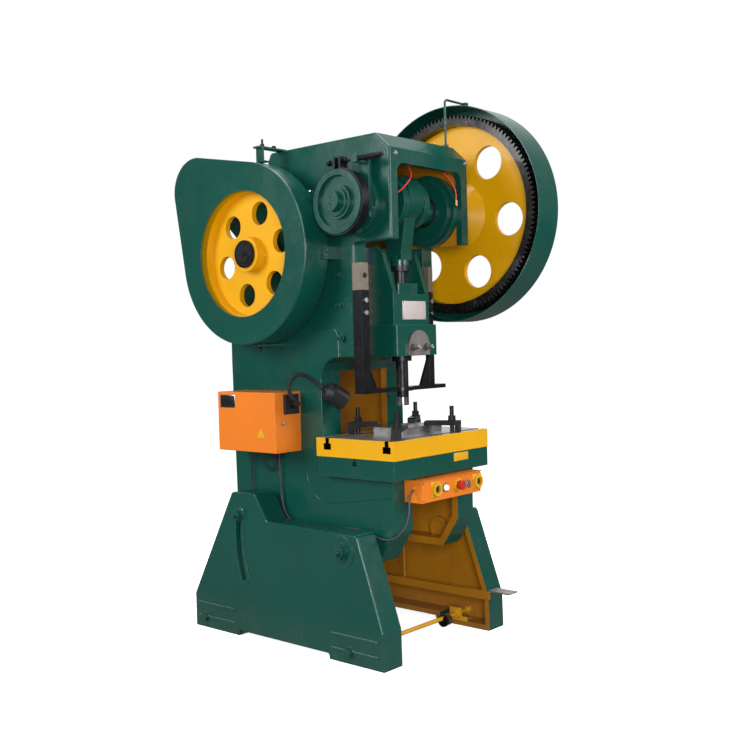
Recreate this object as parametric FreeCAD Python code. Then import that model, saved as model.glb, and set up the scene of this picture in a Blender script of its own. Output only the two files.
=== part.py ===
"""Open-back inclinable mechanical power press, 25 t class.

Frame: origin at the centre of the four feet on the floor, +X to the operator's
right, -Y towards the operator, +Z up.  Millimetres.
Two channel-section legs carry a cast C-frame on two pivot bolts.  A motor at the
rear drives the flywheel by belts, the flywheel's shaft carries a pinion, and the
pinion turns the big gear on the crankshaft, which drives the ram.
"""
import FreeCAD, Part
import math
import os

V = FreeCAD.Vector

# ---- clearances ------------------------------------------------------------
RUN = 0.05            # radial clearance of shafts, pins and bushes
SLIDE = 0.3           # gap between faces that slide past each other

# ---- legs ------------------------------------------------------------------
LEG_OUT = 361.0       # outer face of a leg, from the middle
LEG_WIDE = 98.0       # flange width of the leg's channel
LEG_WALL = 22.0       # side plate
LEG_FLANGE = 20.0     # flange thickness
LEG_HALF_LEN = 499.0  # half length of the feet
LEG_LIFT = 20.0       # daylight under the leg between its feet
FOOT_IN = 240.0       # where a foot ends towards the middle
ANCHOR_R = 11.0
ANCHOR_Y = 380.0
TIE_R = 8.0
TIE_Z = 45.0
FRONT_TIE_Y = -345.0
REAR_TIE_Y = 430.0

# ---- tilting pivot ---------------------------------------------------------
PIVOT_Y = -315.0
PIVOT_Z = 393.0
PIVOT_R = 30.0
PIVOT_BOSS_R = 42.0
SLOT_RADIUS = 538.0
SLOT_HALF = 13.0
SLOT_TOP = 8.6        # degrees above the horizontal through the pivot
SLOT_LOW = -17.2
TILT_BOLT_R = 12.0

# ---- cast body -------------------------------------------------------------
BODY_HALF = 229.0     # half width of the upper casting
PAD_HALF = 237.0      # half width of the lower, thicker sides
BODY_WALL = 27.0      # side wall
FLANGE_IN = 135.0     # inner edge of the flanges
SKIN = 28.0           # flange and roof thickness
BODY_FRONT = -455.0
BODY_LOW = 335.0
BODY_REAR = 380.0
THROAT_BACK = -117.0
THROAT_TOP = 1068.0
THROAT_R = 80.0
COLUMN_FRONT = -290.0
HEAD_FRONT = -467.0
HEAD_LOW = 1480.0
HEAD_TOP = 1858.0
HEAD_WALL = 35.0
PAD_TOP = 1178.0
PAD_FRONT = -210.0
WINDOW_HALF = 188.0   # half width of the opening in the head's front
WINDOW_TOP = 1750.0

# ---- table and bolster -----------------------------------------------------
TABLE_HALF = 280.0
TABLE_FRONT = -497.0
TABLE_Z = 640.0
TABLE_TOP = 711.0
BOLSTER_THICK = 68.4
BOLSTER_DEEP = 370.0
BOLSTER_TOP = TABLE_TOP + BOLSTER_THICK
SLOT_NECK = 9.0       # half width of the bolster's T-slots at the neck
SLOT_FOOT = 18.0      # and at the foot
SLOT_LIP = 1.1        # thickness over the foot, as a share of its half width
FRONT_TSLOT_Y = -465.0
REAR_TSLOT_Y = -182.0
DROP_R = 62.0         # hole that the blanks fall through

# ---- crank drive -----------------------------------------------------------
CRANK_Y = -312.0
CRANK_Z = 1617.0
STROKE = 65.0
JOURNAL_R = 52.0
PIN_R = 60.0
PIN_HALF = 46.0
HOUSING_R = 88.0
COLLAR_X = 162.0      # inner face of the right housing's collar
COLLAR_RIM = 138.0
DRIVE_Y = 143.6
DRIVE_Z = 1465.8
DRIVE_R = 30.0
MODULE = 6.0
GEAR_TEETH = 128
PINION_TEETH = 32
GEAR_X = 325.0
GEAR_WIDE = 72.0
GEAR_GUARD_R = 424.0
GEAR_GUARD_X = (299.0, 434.0)
SHEET = 3.0           # sheet metal of the guards

FLY_R = 275.0
FLY_X = (-352.0, -277.0)
FLY_GUARD_R = 342.0
FLY_GUARD_X = (-380.0, -266.0)
FLY_WINDOW_R = 236.0
MOTOR_Y = 405.0
MOTOR_Z = 1730.0
MOTOR_R = 102.0
PULLEY_R = 62.0
MOTOR_GUARD_R = 130.0

BRAKE_R = 112.0
BRAKE_X = (-338.0, -288.0)

# ---- ram -------------------------------------------------------------------
RAM_HALF = 104.0
RAM_NOSE_HALF = 117.0
RAM_LOW = 1069.0
RAM_STEP = 1183.0
RAM_TOP = 1297.0
RAM_FRONT = -364.0
NOSE_FRONT = -389.0
GUIDE_HALF = 130.0
GUIDE_Y = (-234.0, -190.0)
GIB_OUT = 165.0
GIB_FRONT = -262.0
BALL_R = 30.0
BALL_Z = 1258.0
SCREW_R = 20.0
COLLAR_R = 34.0
SHANK_R = 20.0
PUNCH_R = 23.0
PUNCH_TIP = 884.0

# ---- electrical box and controls ------------------------------------------
EBOX_X = (-352.0, -PAD_HALF)
EBOX_Y = (-5.0, 314.0)
EBOX_Z = (720.0, 945.0)
DOOR_DEEP = 18.0
TIN = 2.0             # sheet of the boxes
PANEL_HALF = 176.0
PANEL_Y = (-533.0, BODY_FRONT)
PANEL_Z = (555.0, 634.0)
BUTTON_Z = 596.0
BUTTON_R = 11.0
STOP_R = 17.0
LEFT_BUTTON_X = -98.0
RIGHT_BUTTON_X = 152.0
STOP_X = 36.0
KEY_X = 82.0

# ---- pedal -----------------------------------------------------------------
PEDAL_X = (232.0, 244.0)
PEDAL_Z = (129.0, 159.0)
PEDAL_PIN_Y = 150.0
PEDAL_PIN_Z = 145.0
PULL_Y = -92.0
PULL_X = 250.0
PULL_TOP = 1435.0

# ---- tooling ---------------------------------------------------------------
DIE_TOP = 806.0
STUD_R = 8.0
CABLE_R = 3.5
LEAD_R = 3.0
HOSE_R = 3.0


# ============================ small shape helpers ============================
def box(x0, x1, y0, y1, z0, z1):
    return Part.makeBox(x1 - x0, y1 - y0, z1 - z0, V(x0, y0, z0))


def cyl_x(x0, x1, y, z, r):
    return Part.makeCylinder(r, x1 - x0, V(x0, y, z), V(1, 0, 0))


def cyl_y(y0, y1, x, z, r):
    return Part.makeCylinder(r, y1 - y0, V(x, y0, z), V(0, 1, 0))


def cyl_z(z0, z1, x, y, r):
    return Part.makeCylinder(r, z1 - z0, V(x, y, z0), V(0, 0, 1))


def ring_x(x0, x1, y, z, r_out, r_in):
    return cyl_x(x0, x1, y, z, r_out).cut(cyl_x(x0 - 1, x1 + 1, y, z, r_in))


def fuse(*shapes):
    whole = shapes[0]
    for shape in shapes[1:]:
        whole = whole.fuse(shape)
    return whole.removeSplitter()


def cut(shape, *tools):
    return shape.cut(list(tools))


def rounded_wire(points, radii):
    """Closed polygon through points, each corner rounded by its radius (0 keeps it sharp)."""
    count = len(points)
    edges = []
    starts = []
    ends = []
    mids = []
    for i in range(count):
        here = points[i]
        radius = radii[i]
        to_last = (points[i - 1] - here).normalize()
        to_next = (points[(i + 1) % count] - here).normalize()
        if radius == 0:
            starts.append(here)
            ends.append(here)
            mids.append(None)
            continue
        half = to_last.getAngle(to_next) / 2
        reach = radius / math.tan(half)
        starts.append(here + to_last * reach)
        ends.append(here + to_next * reach)
        centre = here + (to_last + to_next).normalize() * (radius / math.sin(half))
        mids.append(centre + (here - centre).normalize() * radius)
    for i in range(count):
        if mids[i] is not None:
            edges.append(Part.Arc(starts[i], mids[i], ends[i]).toShape())
        after = starts[(i + 1) % count]
        if (after - ends[i]).Length > 1e-6:
            edges.append(Part.LineSegment(ends[i], after).toShape())
    return Part.Wire(edges)


def prism_x(corners, x0, x1):
    """Extrude an outline of (y, z) or (y, z, corner radius) from x0 to x1."""
    points = [V(x0, c[0], c[1]) for c in corners]
    radii = [c[2] if len(c) > 2 else 0 for c in corners]
    return Part.Face(rounded_wire(points, radii)).extrude(V(x1 - x0, 0, 0))


def prism_z(corners, z0, z1):
    """Extrude an outline of (x, y) or (x, y, corner radius) from z0 to z1."""
    points = [V(c[0], c[1], z0) for c in corners]
    radii = [c[2] if len(c) > 2 else 0 for c in corners]
    return Part.Face(rounded_wire(points, radii)).extrude(V(0, 0, z1 - z0))


def soften(shape, x, radius):
    """Round the outer rim that lies in the plane x."""
    rim = []
    for edge in shape.Edges:
        bounds = edge.BoundBox
        if abs(bounds.XMin - x) < 1e-6 and abs(bounds.XMax - x) < 1e-6:
            rim.append(edge)
    return shape.makeFillet(radius, rim)


def mirror_x(shape):
    return shape.mirror(V(0, 0, 0), V(1, 0, 0))


def polar(y, z, radius, degrees):
    angle = math.radians(degrees)
    return y + radius * math.cos(angle), z + radius * math.sin(angle)


def arc_slot(x0, x1, half):
    """Band of the given half width along the tilt bolt's arc, with round ends."""
    edges = []
    for radius, first, last in ((SLOT_RADIUS + half, SLOT_LOW, SLOT_TOP),
                                (SLOT_RADIUS - half, SLOT_TOP, SLOT_LOW)):
        ends = []
        for angle in (first, (first + last) / 2, last):
            y, z = polar(PIVOT_Y, PIVOT_Z, radius, angle)
            ends.append(V(x0, y, z))
        edges.append(Part.Arc(*ends).toShape())
        y, z = polar(PIVOT_Y, PIVOT_Z, SLOT_RADIUS, last)
        away = 1 if last > first else -1
        tip = V(x0, y - away * half * math.sin(math.radians(last)),
                z + away * half * math.cos(math.radians(last)))
        y, z = polar(PIVOT_Y, PIVOT_Z, 2 * SLOT_RADIUS - radius, last)
        edges.append(Part.Arc(ends[2], tip, V(x0, y, z)).toShape())
    return Part.Face(Part.Wire(edges)).extrude(V(x1 - x0, 0, 0))


def belt_loop(x0, x1, r_big, r_small):
    """Solid bounded by the two circles on the drive and motor axes and their tangents."""
    dy = MOTOR_Y - DRIVE_Y
    dz = MOTOR_Z - DRIVE_Z
    heading = math.degrees(math.atan2(dz, dy))
    spread = math.degrees(math.acos((r_big - r_small) / math.hypot(dy, dz)))
    upper = heading + spread
    lower = heading - spread
    big_top = V(x0, *polar(DRIVE_Y, DRIVE_Z, r_big, upper))
    big_far = V(x0, *polar(DRIVE_Y, DRIVE_Z, r_big, heading + 180))
    big_low = V(x0, *polar(DRIVE_Y, DRIVE_Z, r_big, lower))
    small_top = V(x0, *polar(MOTOR_Y, MOTOR_Z, r_small, upper))
    small_far = V(x0, *polar(MOTOR_Y, MOTOR_Z, r_small, heading))
    small_low = V(x0, *polar(MOTOR_Y, MOTOR_Z, r_small, lower))
    edges = [Part.Arc(big_top, big_far, big_low).toShape(),
             Part.LineSegment(big_low, small_low).toShape(),
             Part.Arc(small_low, small_far, small_top).toShape(),
             Part.LineSegment(small_top, big_top).toShape()]
    return Part.Face(Part.Wire(edges)).extrude(V(x1 - x0, 0, 0))


def toothed_blank(x0, x1, y, z, teeth, phase):
    """Spur gear blank with involute flanks and one tooth centred on the angle phase."""
    pitch = MODULE * teeth / 2
    base = pitch * math.cos(math.radians(20))
    root = pitch - 1.25 * MODULE
    tip = pitch + 0.94 * MODULE
    backlash = 0.45

    def flank(radius):
        inside = math.acos(min(1.0, base / radius))
        at_pitch = math.radians(20)
        drop = (math.tan(inside) - inside) - (math.tan(at_pitch) - at_pitch)
        return math.pi / (2 * teeth) - backlash / (2 * pitch) - drop

    first = max(base, root + 0.5)
    radii = [first, (first + pitch) / 2, pitch, (pitch + tip) / 2, tip]
    points = []
    for tooth in range(teeth):
        middle = math.radians(phase) + 2 * math.pi * tooth / teeth
        turns = [(root, -flank(first))]
        turns += [(radius, -flank(radius)) for radius in radii]
        turns += [(radius, flank(radius)) for radius in reversed(radii)]
        turns.append((root, flank(first)))
        for radius, offset in turns:
            angle = middle + offset
            points.append(V(x0, y + radius * math.cos(angle), z + radius * math.sin(angle)))
    points.append(points[0])
    return Part.Face(Part.makePolygon(points)).extrude(V(x1 - x0, 0, 0))


def bent_tube(points, radius, name):
    """Round tube along straight runs joined by tangent arcs as large as the runs allow."""
    route = [V(*p) for p in points]
    edges = []
    start = route[0]
    tightest = None
    for i in range(1, len(route) - 1):
        back = route[i - 1] - route[i]
        ahead = route[i + 1] - route[i]
        run = min(back.Length, ahead.Length)
        back.normalize()
        ahead.normalize()
        turn = math.pi - back.getAngle(ahead)
        bend = 0.45 * run / math.tan(turn / 2)
        tightest = bend if tightest is None else min(tightest, bend)
        first = route[i] + back * (0.45 * run)
        last = route[i] + ahead * (0.45 * run)
        centre = route[i] + (back + ahead).normalize() * (bend / math.cos(turn / 2))
        middle = centre + (route[i] - centre).normalize() * bend
        edges.append(Part.LineSegment(start, first).toShape())
        edges.append(Part.Arc(first, middle, last).toShape())
        start = last
    edges.append(Part.LineSegment(start, route[-1]).toShape())
    spine = Part.Wire(edges)
    heading = (route[1] - route[0]).normalize()
    disc = Part.Wire([Part.Circle(route[0], heading, radius).toShape()])
    tube = spine.makePipeShell([disc], True, False)
    expected = math.pi * radius ** 2 * spine.Length
    print(name, "length %.0f, tightest radius %.1f, volume ratio %.4f"
          % (spine.Length, tightest, tube.Volume / expected))
    return tube


def save(name, *shapes):
    shape = shapes[0] if len(shapes) == 1 else Part.makeCompound(list(shapes))
    for solid in shape.Solids:
        if not solid.isValid():
            print("invalid solid in", name)
    print("%-20s solids %d  volume %.0f cm3" % (name, len(shape.Solids), shape.Volume / 1000))
    shape.exportStep("parts/%s.step" % name)


# =================================== base ====================================
LEG_OUTLINE = [(LEG_HALF_LEN, 0, 4), (LEG_HALF_LEN, 132, 14), (260, 557, 14), (128, 560, 14),
               (66, 462, 14), (-384, 455, 14), (-LEG_HALF_LEN + 2, 130, 14), (-LEG_HALF_LEN, 0, 4),
               (-FOOT_IN, 0, 4), (-FOOT_IN, LEG_LIFT, 8), (FOOT_IN, LEG_LIFT, 8), (FOOT_IN, 0, 4)]
LEG_HOLLOW = [(479, 20, 6), (479, 128, 10), (248, 537, 10), (139, 540, 10),
              (77, 442, 10), (-370, 435, 10), (-477, 126, 10), (-479, 20, 6),
              (-FOOT_IN - 20, 20, 6), (-FOOT_IN - 20, 40, 6), (FOOT_IN + 20, 40, 6), (FOOT_IN + 20, 20, 6)]


def left_leg():
    inner = LEG_OUT - LEG_WIDE
    plate_in = LEG_OUT - LEG_WALL
    leg = soften(prism_x(LEG_OUTLINE, -LEG_OUT, -inner), -LEG_OUT, 6)
    leg = leg.cut(prism_x(LEG_HOLLOW, -plate_in, -inner + 1))
    extras = [cyl_x(-plate_in - 1, -inner, PIVOT_Y, PIVOT_Z, PIVOT_BOSS_R)]
    extras.append(arc_slot(-LEG_OUT - 4, -LEG_OUT + 8, SLOT_HALF + 13))
    extras.append(cyl_x(-LEG_OUT - 4, -LEG_OUT + 8, PIVOT_Y, PIVOT_Z, PIVOT_BOSS_R + 14))
    for foot in (1, -1):
        for height in (46, 98):
            y0, y1 = sorted((foot * (FOOT_IN + 16), foot * (LEG_HALF_LEN - 22)))
            extras.append(box(-LEG_OUT - 4, -LEG_OUT + 8, y0, y1, height - 5, height + 5))
    for y in (FRONT_TIE_Y, REAR_TIE_Y):
        extras.append(cyl_x(-LEG_OUT - 4, -LEG_OUT + 8, y, TIE_Z, 20))
    leg = fuse(leg, *extras)
    tools = [cyl_x(-LEG_OUT - 9, -inner + 5, PIVOT_Y, PIVOT_Z, PIVOT_R + RUN)]
    tools.append(arc_slot(-LEG_OUT - 9, -plate_in + 5, SLOT_HALF))
    middle = (inner + plate_in) / 2
    for y in (-ANCHOR_Y, ANCHOR_Y):
        tools.append(cyl_z(-5, LEG_FLANGE + 5, -middle, y, ANCHOR_R))
    for y in (FRONT_TIE_Y, REAR_TIE_Y):
        tools.append(cyl_x(-LEG_OUT - 9, -plate_in + 5, y, TIE_Z, TIE_R + RUN))
    return cut(leg, *tools)


def right_leg():
    leg = mirror_x(left_leg())
    boss = cyl_x(LEG_OUT - LEG_WIDE, LEG_OUT - LEG_WALL + 1, PEDAL_PIN_Y, PEDAL_PIN_Z, 22)
    leg = fuse(leg, boss)
    return leg.cut(cyl_x(200, LEG_OUT - 8, PEDAL_PIN_Y, PEDAL_PIN_Z, 10 + RUN))


def tie_rods():
    rods = []
    for y in (FRONT_TIE_Y, REAR_TIE_Y):
        rods.append(cyl_x(-LEG_OUT - 18, LEG_OUT + 18, y, TIE_Z, TIE_R))
    return rods


def hexagon_x(x0, x1, y, z, flats):
    across = flats / math.sqrt(3)
    corners = [polar(y, z, across, 60 * k) for k in range(6)]
    return prism_x(corners, x0, x1)


def tie_nuts():
    nuts = []
    for y in (FRONT_TIE_Y, REAR_TIE_Y):
        for side in (-1, 1):
            for near, far in ((LEG_OUT + 4, LEG_OUT + 16), (LEG_OUT - LEG_WALL - 12, LEG_OUT - LEG_WALL)):
                x0, x1 = sorted((side * near, side * far))
                nut = hexagon_x(x0, x1, y, TIE_Z, 26)
                nuts.append(nut.cut(cyl_x(x0 - 1, x1 + 1, y, TIE_Z, TIE_R + RUN)))
    return nuts


def pivot_bolts():
    bolts = []
    for side in (-1, 1):
        face = LEG_OUT + 4
        shank = sorted((side * (PAD_HALF - BODY_WALL - 8), side * (face + 1)))
        body = cyl_x(shank[0], shank[1], PIVOT_Y, PIVOT_Z, PIVOT_R)
        washer = sorted((side * face, side * (face + 5)))
        nut = sorted((side * (face + 4), side * (face + 20)))
        stud = sorted((side * (face + 18), side * (face + 35)))
        bolts.append(fuse(body, cyl_x(washer[0], washer[1], PIVOT_Y, PIVOT_Z, PIVOT_R + 4),
                          hexagon_x(nut[0], nut[1], PIVOT_Y, PIVOT_Z, 46),
                          cyl_x(stud[0], stud[1], PIVOT_Y, PIVOT_Z, 12)))
    return bolts


def pedal_pin():
    pin = cyl_x(PEDAL_X[0] - 6, LEG_OUT - 8, PEDAL_PIN_Y, PEDAL_PIN_Z, 10)
    collar = cyl_x(PEDAL_X[1] + SLIDE, LEG_OUT - LEG_WIDE, PEDAL_PIN_Y, PEDAL_PIN_Z, 16)
    return fuse(pin, collar)


# ================================ tilting frame ==============================
def slope_y(z):
    """Rear slope of the head: y at the height z."""
    top_y = 130.0
    low_z = 1300.0
    return top_y + (HEAD_TOP - z) / (HEAD_TOP - low_z) * (BODY_REAR - top_y)


BODY_OUTLINE = [(BODY_FRONT, TABLE_Z + 20), (BODY_FRONT, 450, 20), (-381, 338, 14),
                (367, BODY_LOW, 14), (BODY_REAR, 1058), (BODY_REAR, 1300, 30),
                (130, HEAD_TOP, 16), (-404, HEAD_TOP, 6), (HEAD_FRONT, 1800, 6), (HEAD_FRONT, HEAD_LOW, 8),
                (COLUMN_FRONT, HEAD_LOW, 10), (COLUMN_FRONT, THROAT_TOP, 6),
                (THROAT_BACK, THROAT_TOP, THROAT_R), (THROAT_BACK, TABLE_Z + 20)]


def body_cavities():
    """Everything hollow between the two side walls."""
    web_front = 40.0
    web_back = 66.0
    cheek = BODY_HALF - HEAD_WALL
    wall = BODY_HALF - BODY_WALL + 9
    head = prism_x([(-440, HEAD_LOW - 1), (-440, 1786), (-396, HEAD_TOP - SKIN),
                    (web_front, HEAD_TOP - SKIN), (web_front, HEAD_LOW),
                    (-130, HEAD_LOW), (-130, HEAD_LOW - 1)], -cheek, cheek)
    rear = prism_x([(web_back, HEAD_TOP - SKIN), (slope_y(HEAD_TOP - SKIN) - SKIN, HEAD_TOP - SKIN),
                    (slope_y(HEAD_LOW) - SKIN, HEAD_LOW), (web_back, HEAD_LOW)], -cheek, cheek)
    low = prism_x([(BODY_FRONT + SKIN, TABLE_Z - SKIN), (BODY_FRONT + SKIN, 458), (-367, 338 + SKIN),
                   (367 - SKIN, BODY_LOW + SKIN), (BODY_REAR - SKIN, 1058), (BODY_REAR - SKIN, 1290),
                   (slope_y(HEAD_LOW) - SKIN, HEAD_LOW), (web_back, HEAD_LOW), (web_back, HEAD_LOW - SKIN),
                   (-120, HEAD_LOW - SKIN), (-120, THROAT_TOP + SKIN + 20, 30),
                   (THROAT_BACK + SKIN, THROAT_TOP - 20, 30), (THROAT_BACK + SKIN, TABLE_Z - SKIN)],
                  -wall, wall)
    return [head, rear, low]


def window():
    """Opening in the head's front, with rounded upper corners."""
    points = [V(-WINDOW_HALF, -470, HEAD_LOW - 1), V(WINDOW_HALF, -470, HEAD_LOW - 1),
              V(WINDOW_HALF, -470, WINDOW_TOP), V(-WINDOW_HALF, -470, WINDOW_TOP)]
    wire = rounded_wire(points, [0, 0, 34, 34])
    return Part.Face(wire).extrude(V(0, 40, 0))


def flange_openings():
    """The clear way between the flanges at the front, below, at the back and in the throat."""
    ways = [box(-FLANGE_IN, FLANGE_IN, BODY_FRONT - 9, BODY_FRONT + SKIN + 9, 300, TABLE_Z - SKIN)]
    ways.append(box(-FLANGE_IN, FLANGE_IN, -430, 367 - SKIN, 300, BODY_LOW + SKIN + 20))
    ways.append(box(-FLANGE_IN, FLANGE_IN, BODY_FRONT, -350, 300, 475))
    ways.append(box(-FLANGE_IN, FLANGE_IN, 367 - SKIN - 20, BODY_REAR + 9, 300, 1280))
    ways.append(box(-FLANGE_IN, FLANGE_IN, THROAT_BACK - 9, THROAT_BACK + SKIN + 9,
                    BOLSTER_TOP, THROAT_TOP - 50))
    return ways


def body_frame():
    body = prism_x(BODY_OUTLINE, -BODY_HALF, BODY_HALF)
    body = soften(soften(body, BODY_HALF, 7), -BODY_HALF, 7)
    pad_outline = [(BODY_FRONT, TABLE_Z + 20), (BODY_FRONT, 450, 20), (-381, 338, 14),
                   (367, BODY_LOW, 14), (BODY_REAR, 1058), (BODY_REAR, PAD_TOP, 30),
                   (PAD_FRONT, PAD_TOP, 30), (PAD_FRONT, THROAT_TOP),
                   (THROAT_BACK, THROAT_TOP, THROAT_R), (THROAT_BACK, TABLE_Z + 20)]
    left_pad = soften(prism_x(pad_outline, -PAD_HALF, -BODY_HALF + 14), -PAD_HALF, 5)
    table = box(-TABLE_HALF, TABLE_HALF, TABLE_FRONT, THROAT_BACK - 21, TABLE_Z, TABLE_TOP)
    front_edges = [e for e in table.Edges if e.BoundBox.ZLength > 60 and e.BoundBox.YMax < -400]
    table = table.makeFillet(5, front_edges)
    neck = box(-PAD_HALF, PAD_HALF, BODY_FRONT, THROAT_BACK + SKIN, TABLE_Z - SKIN, TABLE_TOP)
    extras = [neck, left_pad, mirror_x(left_pad), table]
    for side in (-1, 1):
        inner, outer = sorted((side * (BODY_HALF - BODY_WALL - 10), side * (LEG_OUT - LEG_WIDE - SLIDE)))
        extras.append(cyl_x(inner, outer, PIVOT_Y, PIVOT_Z, PIVOT_BOSS_R))
        extras.append(cyl_x(inner, outer, *polar(PIVOT_Y, PIVOT_Z, SLOT_RADIUS, SLOT_TOP), 24))
        cheek_in, cheek_out = sorted((side * (BODY_HALF - HEAD_WALL), side * (BODY_HALF - 1)))
        extras.append(cyl_x(cheek_in, cheek_out, DRIVE_Y, DRIVE_Z, 78))
    body = fuse(body, *extras[:4])
    body = cut(body, *body_cavities())
    body = fuse(body, *extras[4:])
    tools = flange_openings()
    tools.append(window())
    tools.append(box(-GIB_OUT, GIB_OUT, COLUMN_FRONT - 9, GUIDE_Y[1], THROAT_TOP - 9, HEAD_LOW + 1))
    tools.append(cyl_x(-BODY_HALF - 40, BODY_HALF + 40, CRANK_Y, CRANK_Z, HOUSING_R + RUN))
    tools.append(cyl_x(COLLAR_X, BODY_HALF - HEAD_WALL, CRANK_Y, CRANK_Z, COLLAR_RIM + RUN))
    tools.append(cyl_x(-BODY_HALF - 40, BODY_HALF + 40, DRIVE_Y, DRIVE_Z, 50 + RUN))
    tools.append(cyl_x(-LEG_OUT, LEG_OUT, PIVOT_Y, PIVOT_Z, PIVOT_R + RUN))
    tools.append(cyl_x(-LEG_OUT, LEG_OUT, *polar(PIVOT_Y, PIVOT_Z, SLOT_RADIUS, SLOT_TOP), TILT_BOLT_R + RUN))
    tools.append(cyl_z(TABLE_Z - SKIN - 9, TABLE_TOP + 9, 0, CRANK_Y, DROP_R))
    tools += t_slot(CRANK_Y, TABLE_TOP, TABLE_HALF, 6, 12)
    return cut(body, *tools)


def t_slot(y, top, half, neck, foot):
    """Cutting tools of one T-slot along X."""
    neck_cut = box(-half - 9, half + 9, y - neck, y + neck, top - 2.4 * foot, top + 9)
    foot_cut = box(-half - 9, half + 9, y - foot, y + foot, top - 2.4 * foot, top - SLOT_LIP * foot)
    return [neck_cut, foot_cut]


def bolster():
    plate = box(-TABLE_HALF, TABLE_HALF, TABLE_FRONT, TABLE_FRONT + BOLSTER_DEEP, TABLE_TOP, BOLSTER_TOP)
    tools = [cyl_z(TABLE_TOP - 9, BOLSTER_TOP + 9, 0, CRANK_Y, DROP_R)]
    tools += t_slot(FRONT_TSLOT_Y, BOLSTER_TOP, TABLE_HALF, SLOT_NECK, SLOT_FOOT)
    tools += t_slot(REAR_TSLOT_Y, BOLSTER_TOP, TABLE_HALF, SLOT_NECK, SLOT_FOOT)
    return cut(plate, *tools)


def tilt_bolts():
    """Clamp bolts that slide in the legs' arc slots."""
    y, z = polar(PIVOT_Y, PIVOT_Z, SLOT_RADIUS, SLOT_TOP)
    bolts = []
    for side in (-1, 1):
        face = LEG_OUT + 4 + SLIDE
        x0, x1 = sorted((side * (BODY_HALF - 40), side * (face + 1)))
        shank = cyl_x(x0, x1, y, z, TILT_BOLT_R)
        x0, x1 = sorted((side * face, side * (face + 4)))
        washer = cyl_x(x0, x1, y, z, SLOT_HALF + 11)
        x0, x1 = sorted((side * (face + 3), side * (face + 19)))
        nut = hexagon_x(x0, x1, y, z, 36)
        x0, x1 = sorted((side * (face + 18), side * (face + 32)))
        bolts.append(fuse(shank, washer, nut, cyl_x(x0, x1, y, z, TILT_BOLT_R - 2)))
    return bolts


def left_housing():
    flange_r = HOUSING_R + 24
    barrel = cyl_x(-BODY_HALF - 26, -150, CRANK_Y, CRANK_Z, HOUSING_R)
    flange = cyl_x(-BODY_HALF - 26, -BODY_HALF, CRANK_Y, CRANK_Z, flange_r)
    return fuse(barrel, flange).cut(cyl_x(-300, 0, CRANK_Y, CRANK_Z, JOURNAL_R + 10 + RUN))


def right_housing():
    barrel = cyl_x(150, 290, CRANK_Y, CRANK_Z, HOUSING_R)
    collar = cyl_x(COLLAR_X, BODY_HALF - HEAD_WALL, CRANK_Y, CRANK_Z, COLLAR_RIM)
    step = cyl_x(150, COLLAR_X + 3, CRANK_Y, CRANK_Z, 116)
    return fuse(barrel, collar, step).cut(cyl_x(0, 300, CRANK_Y, CRANK_Z, JOURNAL_R + 10 + RUN))


def crank_bushes():
    left = ring_x(-BODY_HALF - 26, -150, CRANK_Y, CRANK_Z, JOURNAL_R + 10, JOURNAL_R + RUN)
    right = ring_x(150, 290, CRANK_Y, CRANK_Z, JOURNAL_R + 10, JOURNAL_R + RUN)
    return [left, right]


def drive_bearings():
    units = []
    for side in (-1, 1):
        x0, x1 = sorted((side * (BODY_HALF - HEAD_WALL), side * (BODY_HALF + 20)))
        barrel = cyl_x(x0, x1, DRIVE_Y, DRIVE_Z, 50)
        x0, x1 = sorted((side * BODY_HALF, side * (BODY_HALF + 20)))
        flange = cyl_x(x0, x1, DRIVE_Y, DRIVE_Z, 72)
        units.append(fuse(barrel, flange).cut(cyl_x(-400, 400, DRIVE_Y, DRIVE_Z, DRIVE_R + RUN)))
    return units


def gibs():
    low = THROAT_TOP + 7
    high = HEAD_LOW - 10
    lip = box(-GIB_OUT, -RAM_HALF - SLIDE, GIB_FRONT, GUIDE_Y[0] - SLIDE, low, high)
    side = box(-GIB_OUT, -GUIDE_HALF - SLIDE, GUIDE_Y[0] - SLIDE, GUIDE_Y[1], low, high)
    left = fuse(lip, side)
    return [left, mirror_x(left)]


STRIPPER_Z = (938.0, 953.0)
POST_TOP = 1310.0
LEFT_POST = (-241.0, -201.0, COLUMN_FRONT - 42, COLUMN_FRONT)
RIGHT_POST = (172.0, 198.0, COLUMN_FRONT - 22, COLUMN_FRONT)


def stripper_frame():
    """Welded U-frame: a bar that the punch passes through, two posts and their gussets."""
    bar = fuse(box(-241, 241, COLUMN_FRONT - 42, COLUMN_FRONT, *STRIPPER_Z),
               cyl_z(*STRIPPER_Z, 0, CRANK_Y, 40))
    bar = bar.cut(cyl_z(900, 1000, 0, CRANK_Y, PUNCH_R + 4))
    parts = [bar]
    for x0, x1, y0, y1 in (LEFT_POST, RIGHT_POST):
        parts.append(box(x0, x1, y0, y1, STRIPPER_Z[1] - 1, POST_TOP))
        inner = x1 if x0 < 0 else x0
        toe = inner + (52 if x0 < 0 else -52)
        middle = (y0 + y1) / 2
        corners = [V(inner, middle - 6, STRIPPER_Z[1]), V(toe, middle - 6, STRIPPER_Z[1]),
                   V(inner, middle - 6, STRIPPER_Z[1] + 110)]
        gusset = Part.Face(Part.makePolygon(corners + [corners[0]])).extrude(V(0, 12, 0))
        parts.append(gusset)
    return fuse(*parts)


def stripper_blocks():
    blocks = []
    for x0, x1, y0, y1 in (LEFT_POST, RIGHT_POST):
        blocks.append(box(x0, x1, y0, y1, POST_TOP, POST_TOP + 98))
    return blocks


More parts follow.
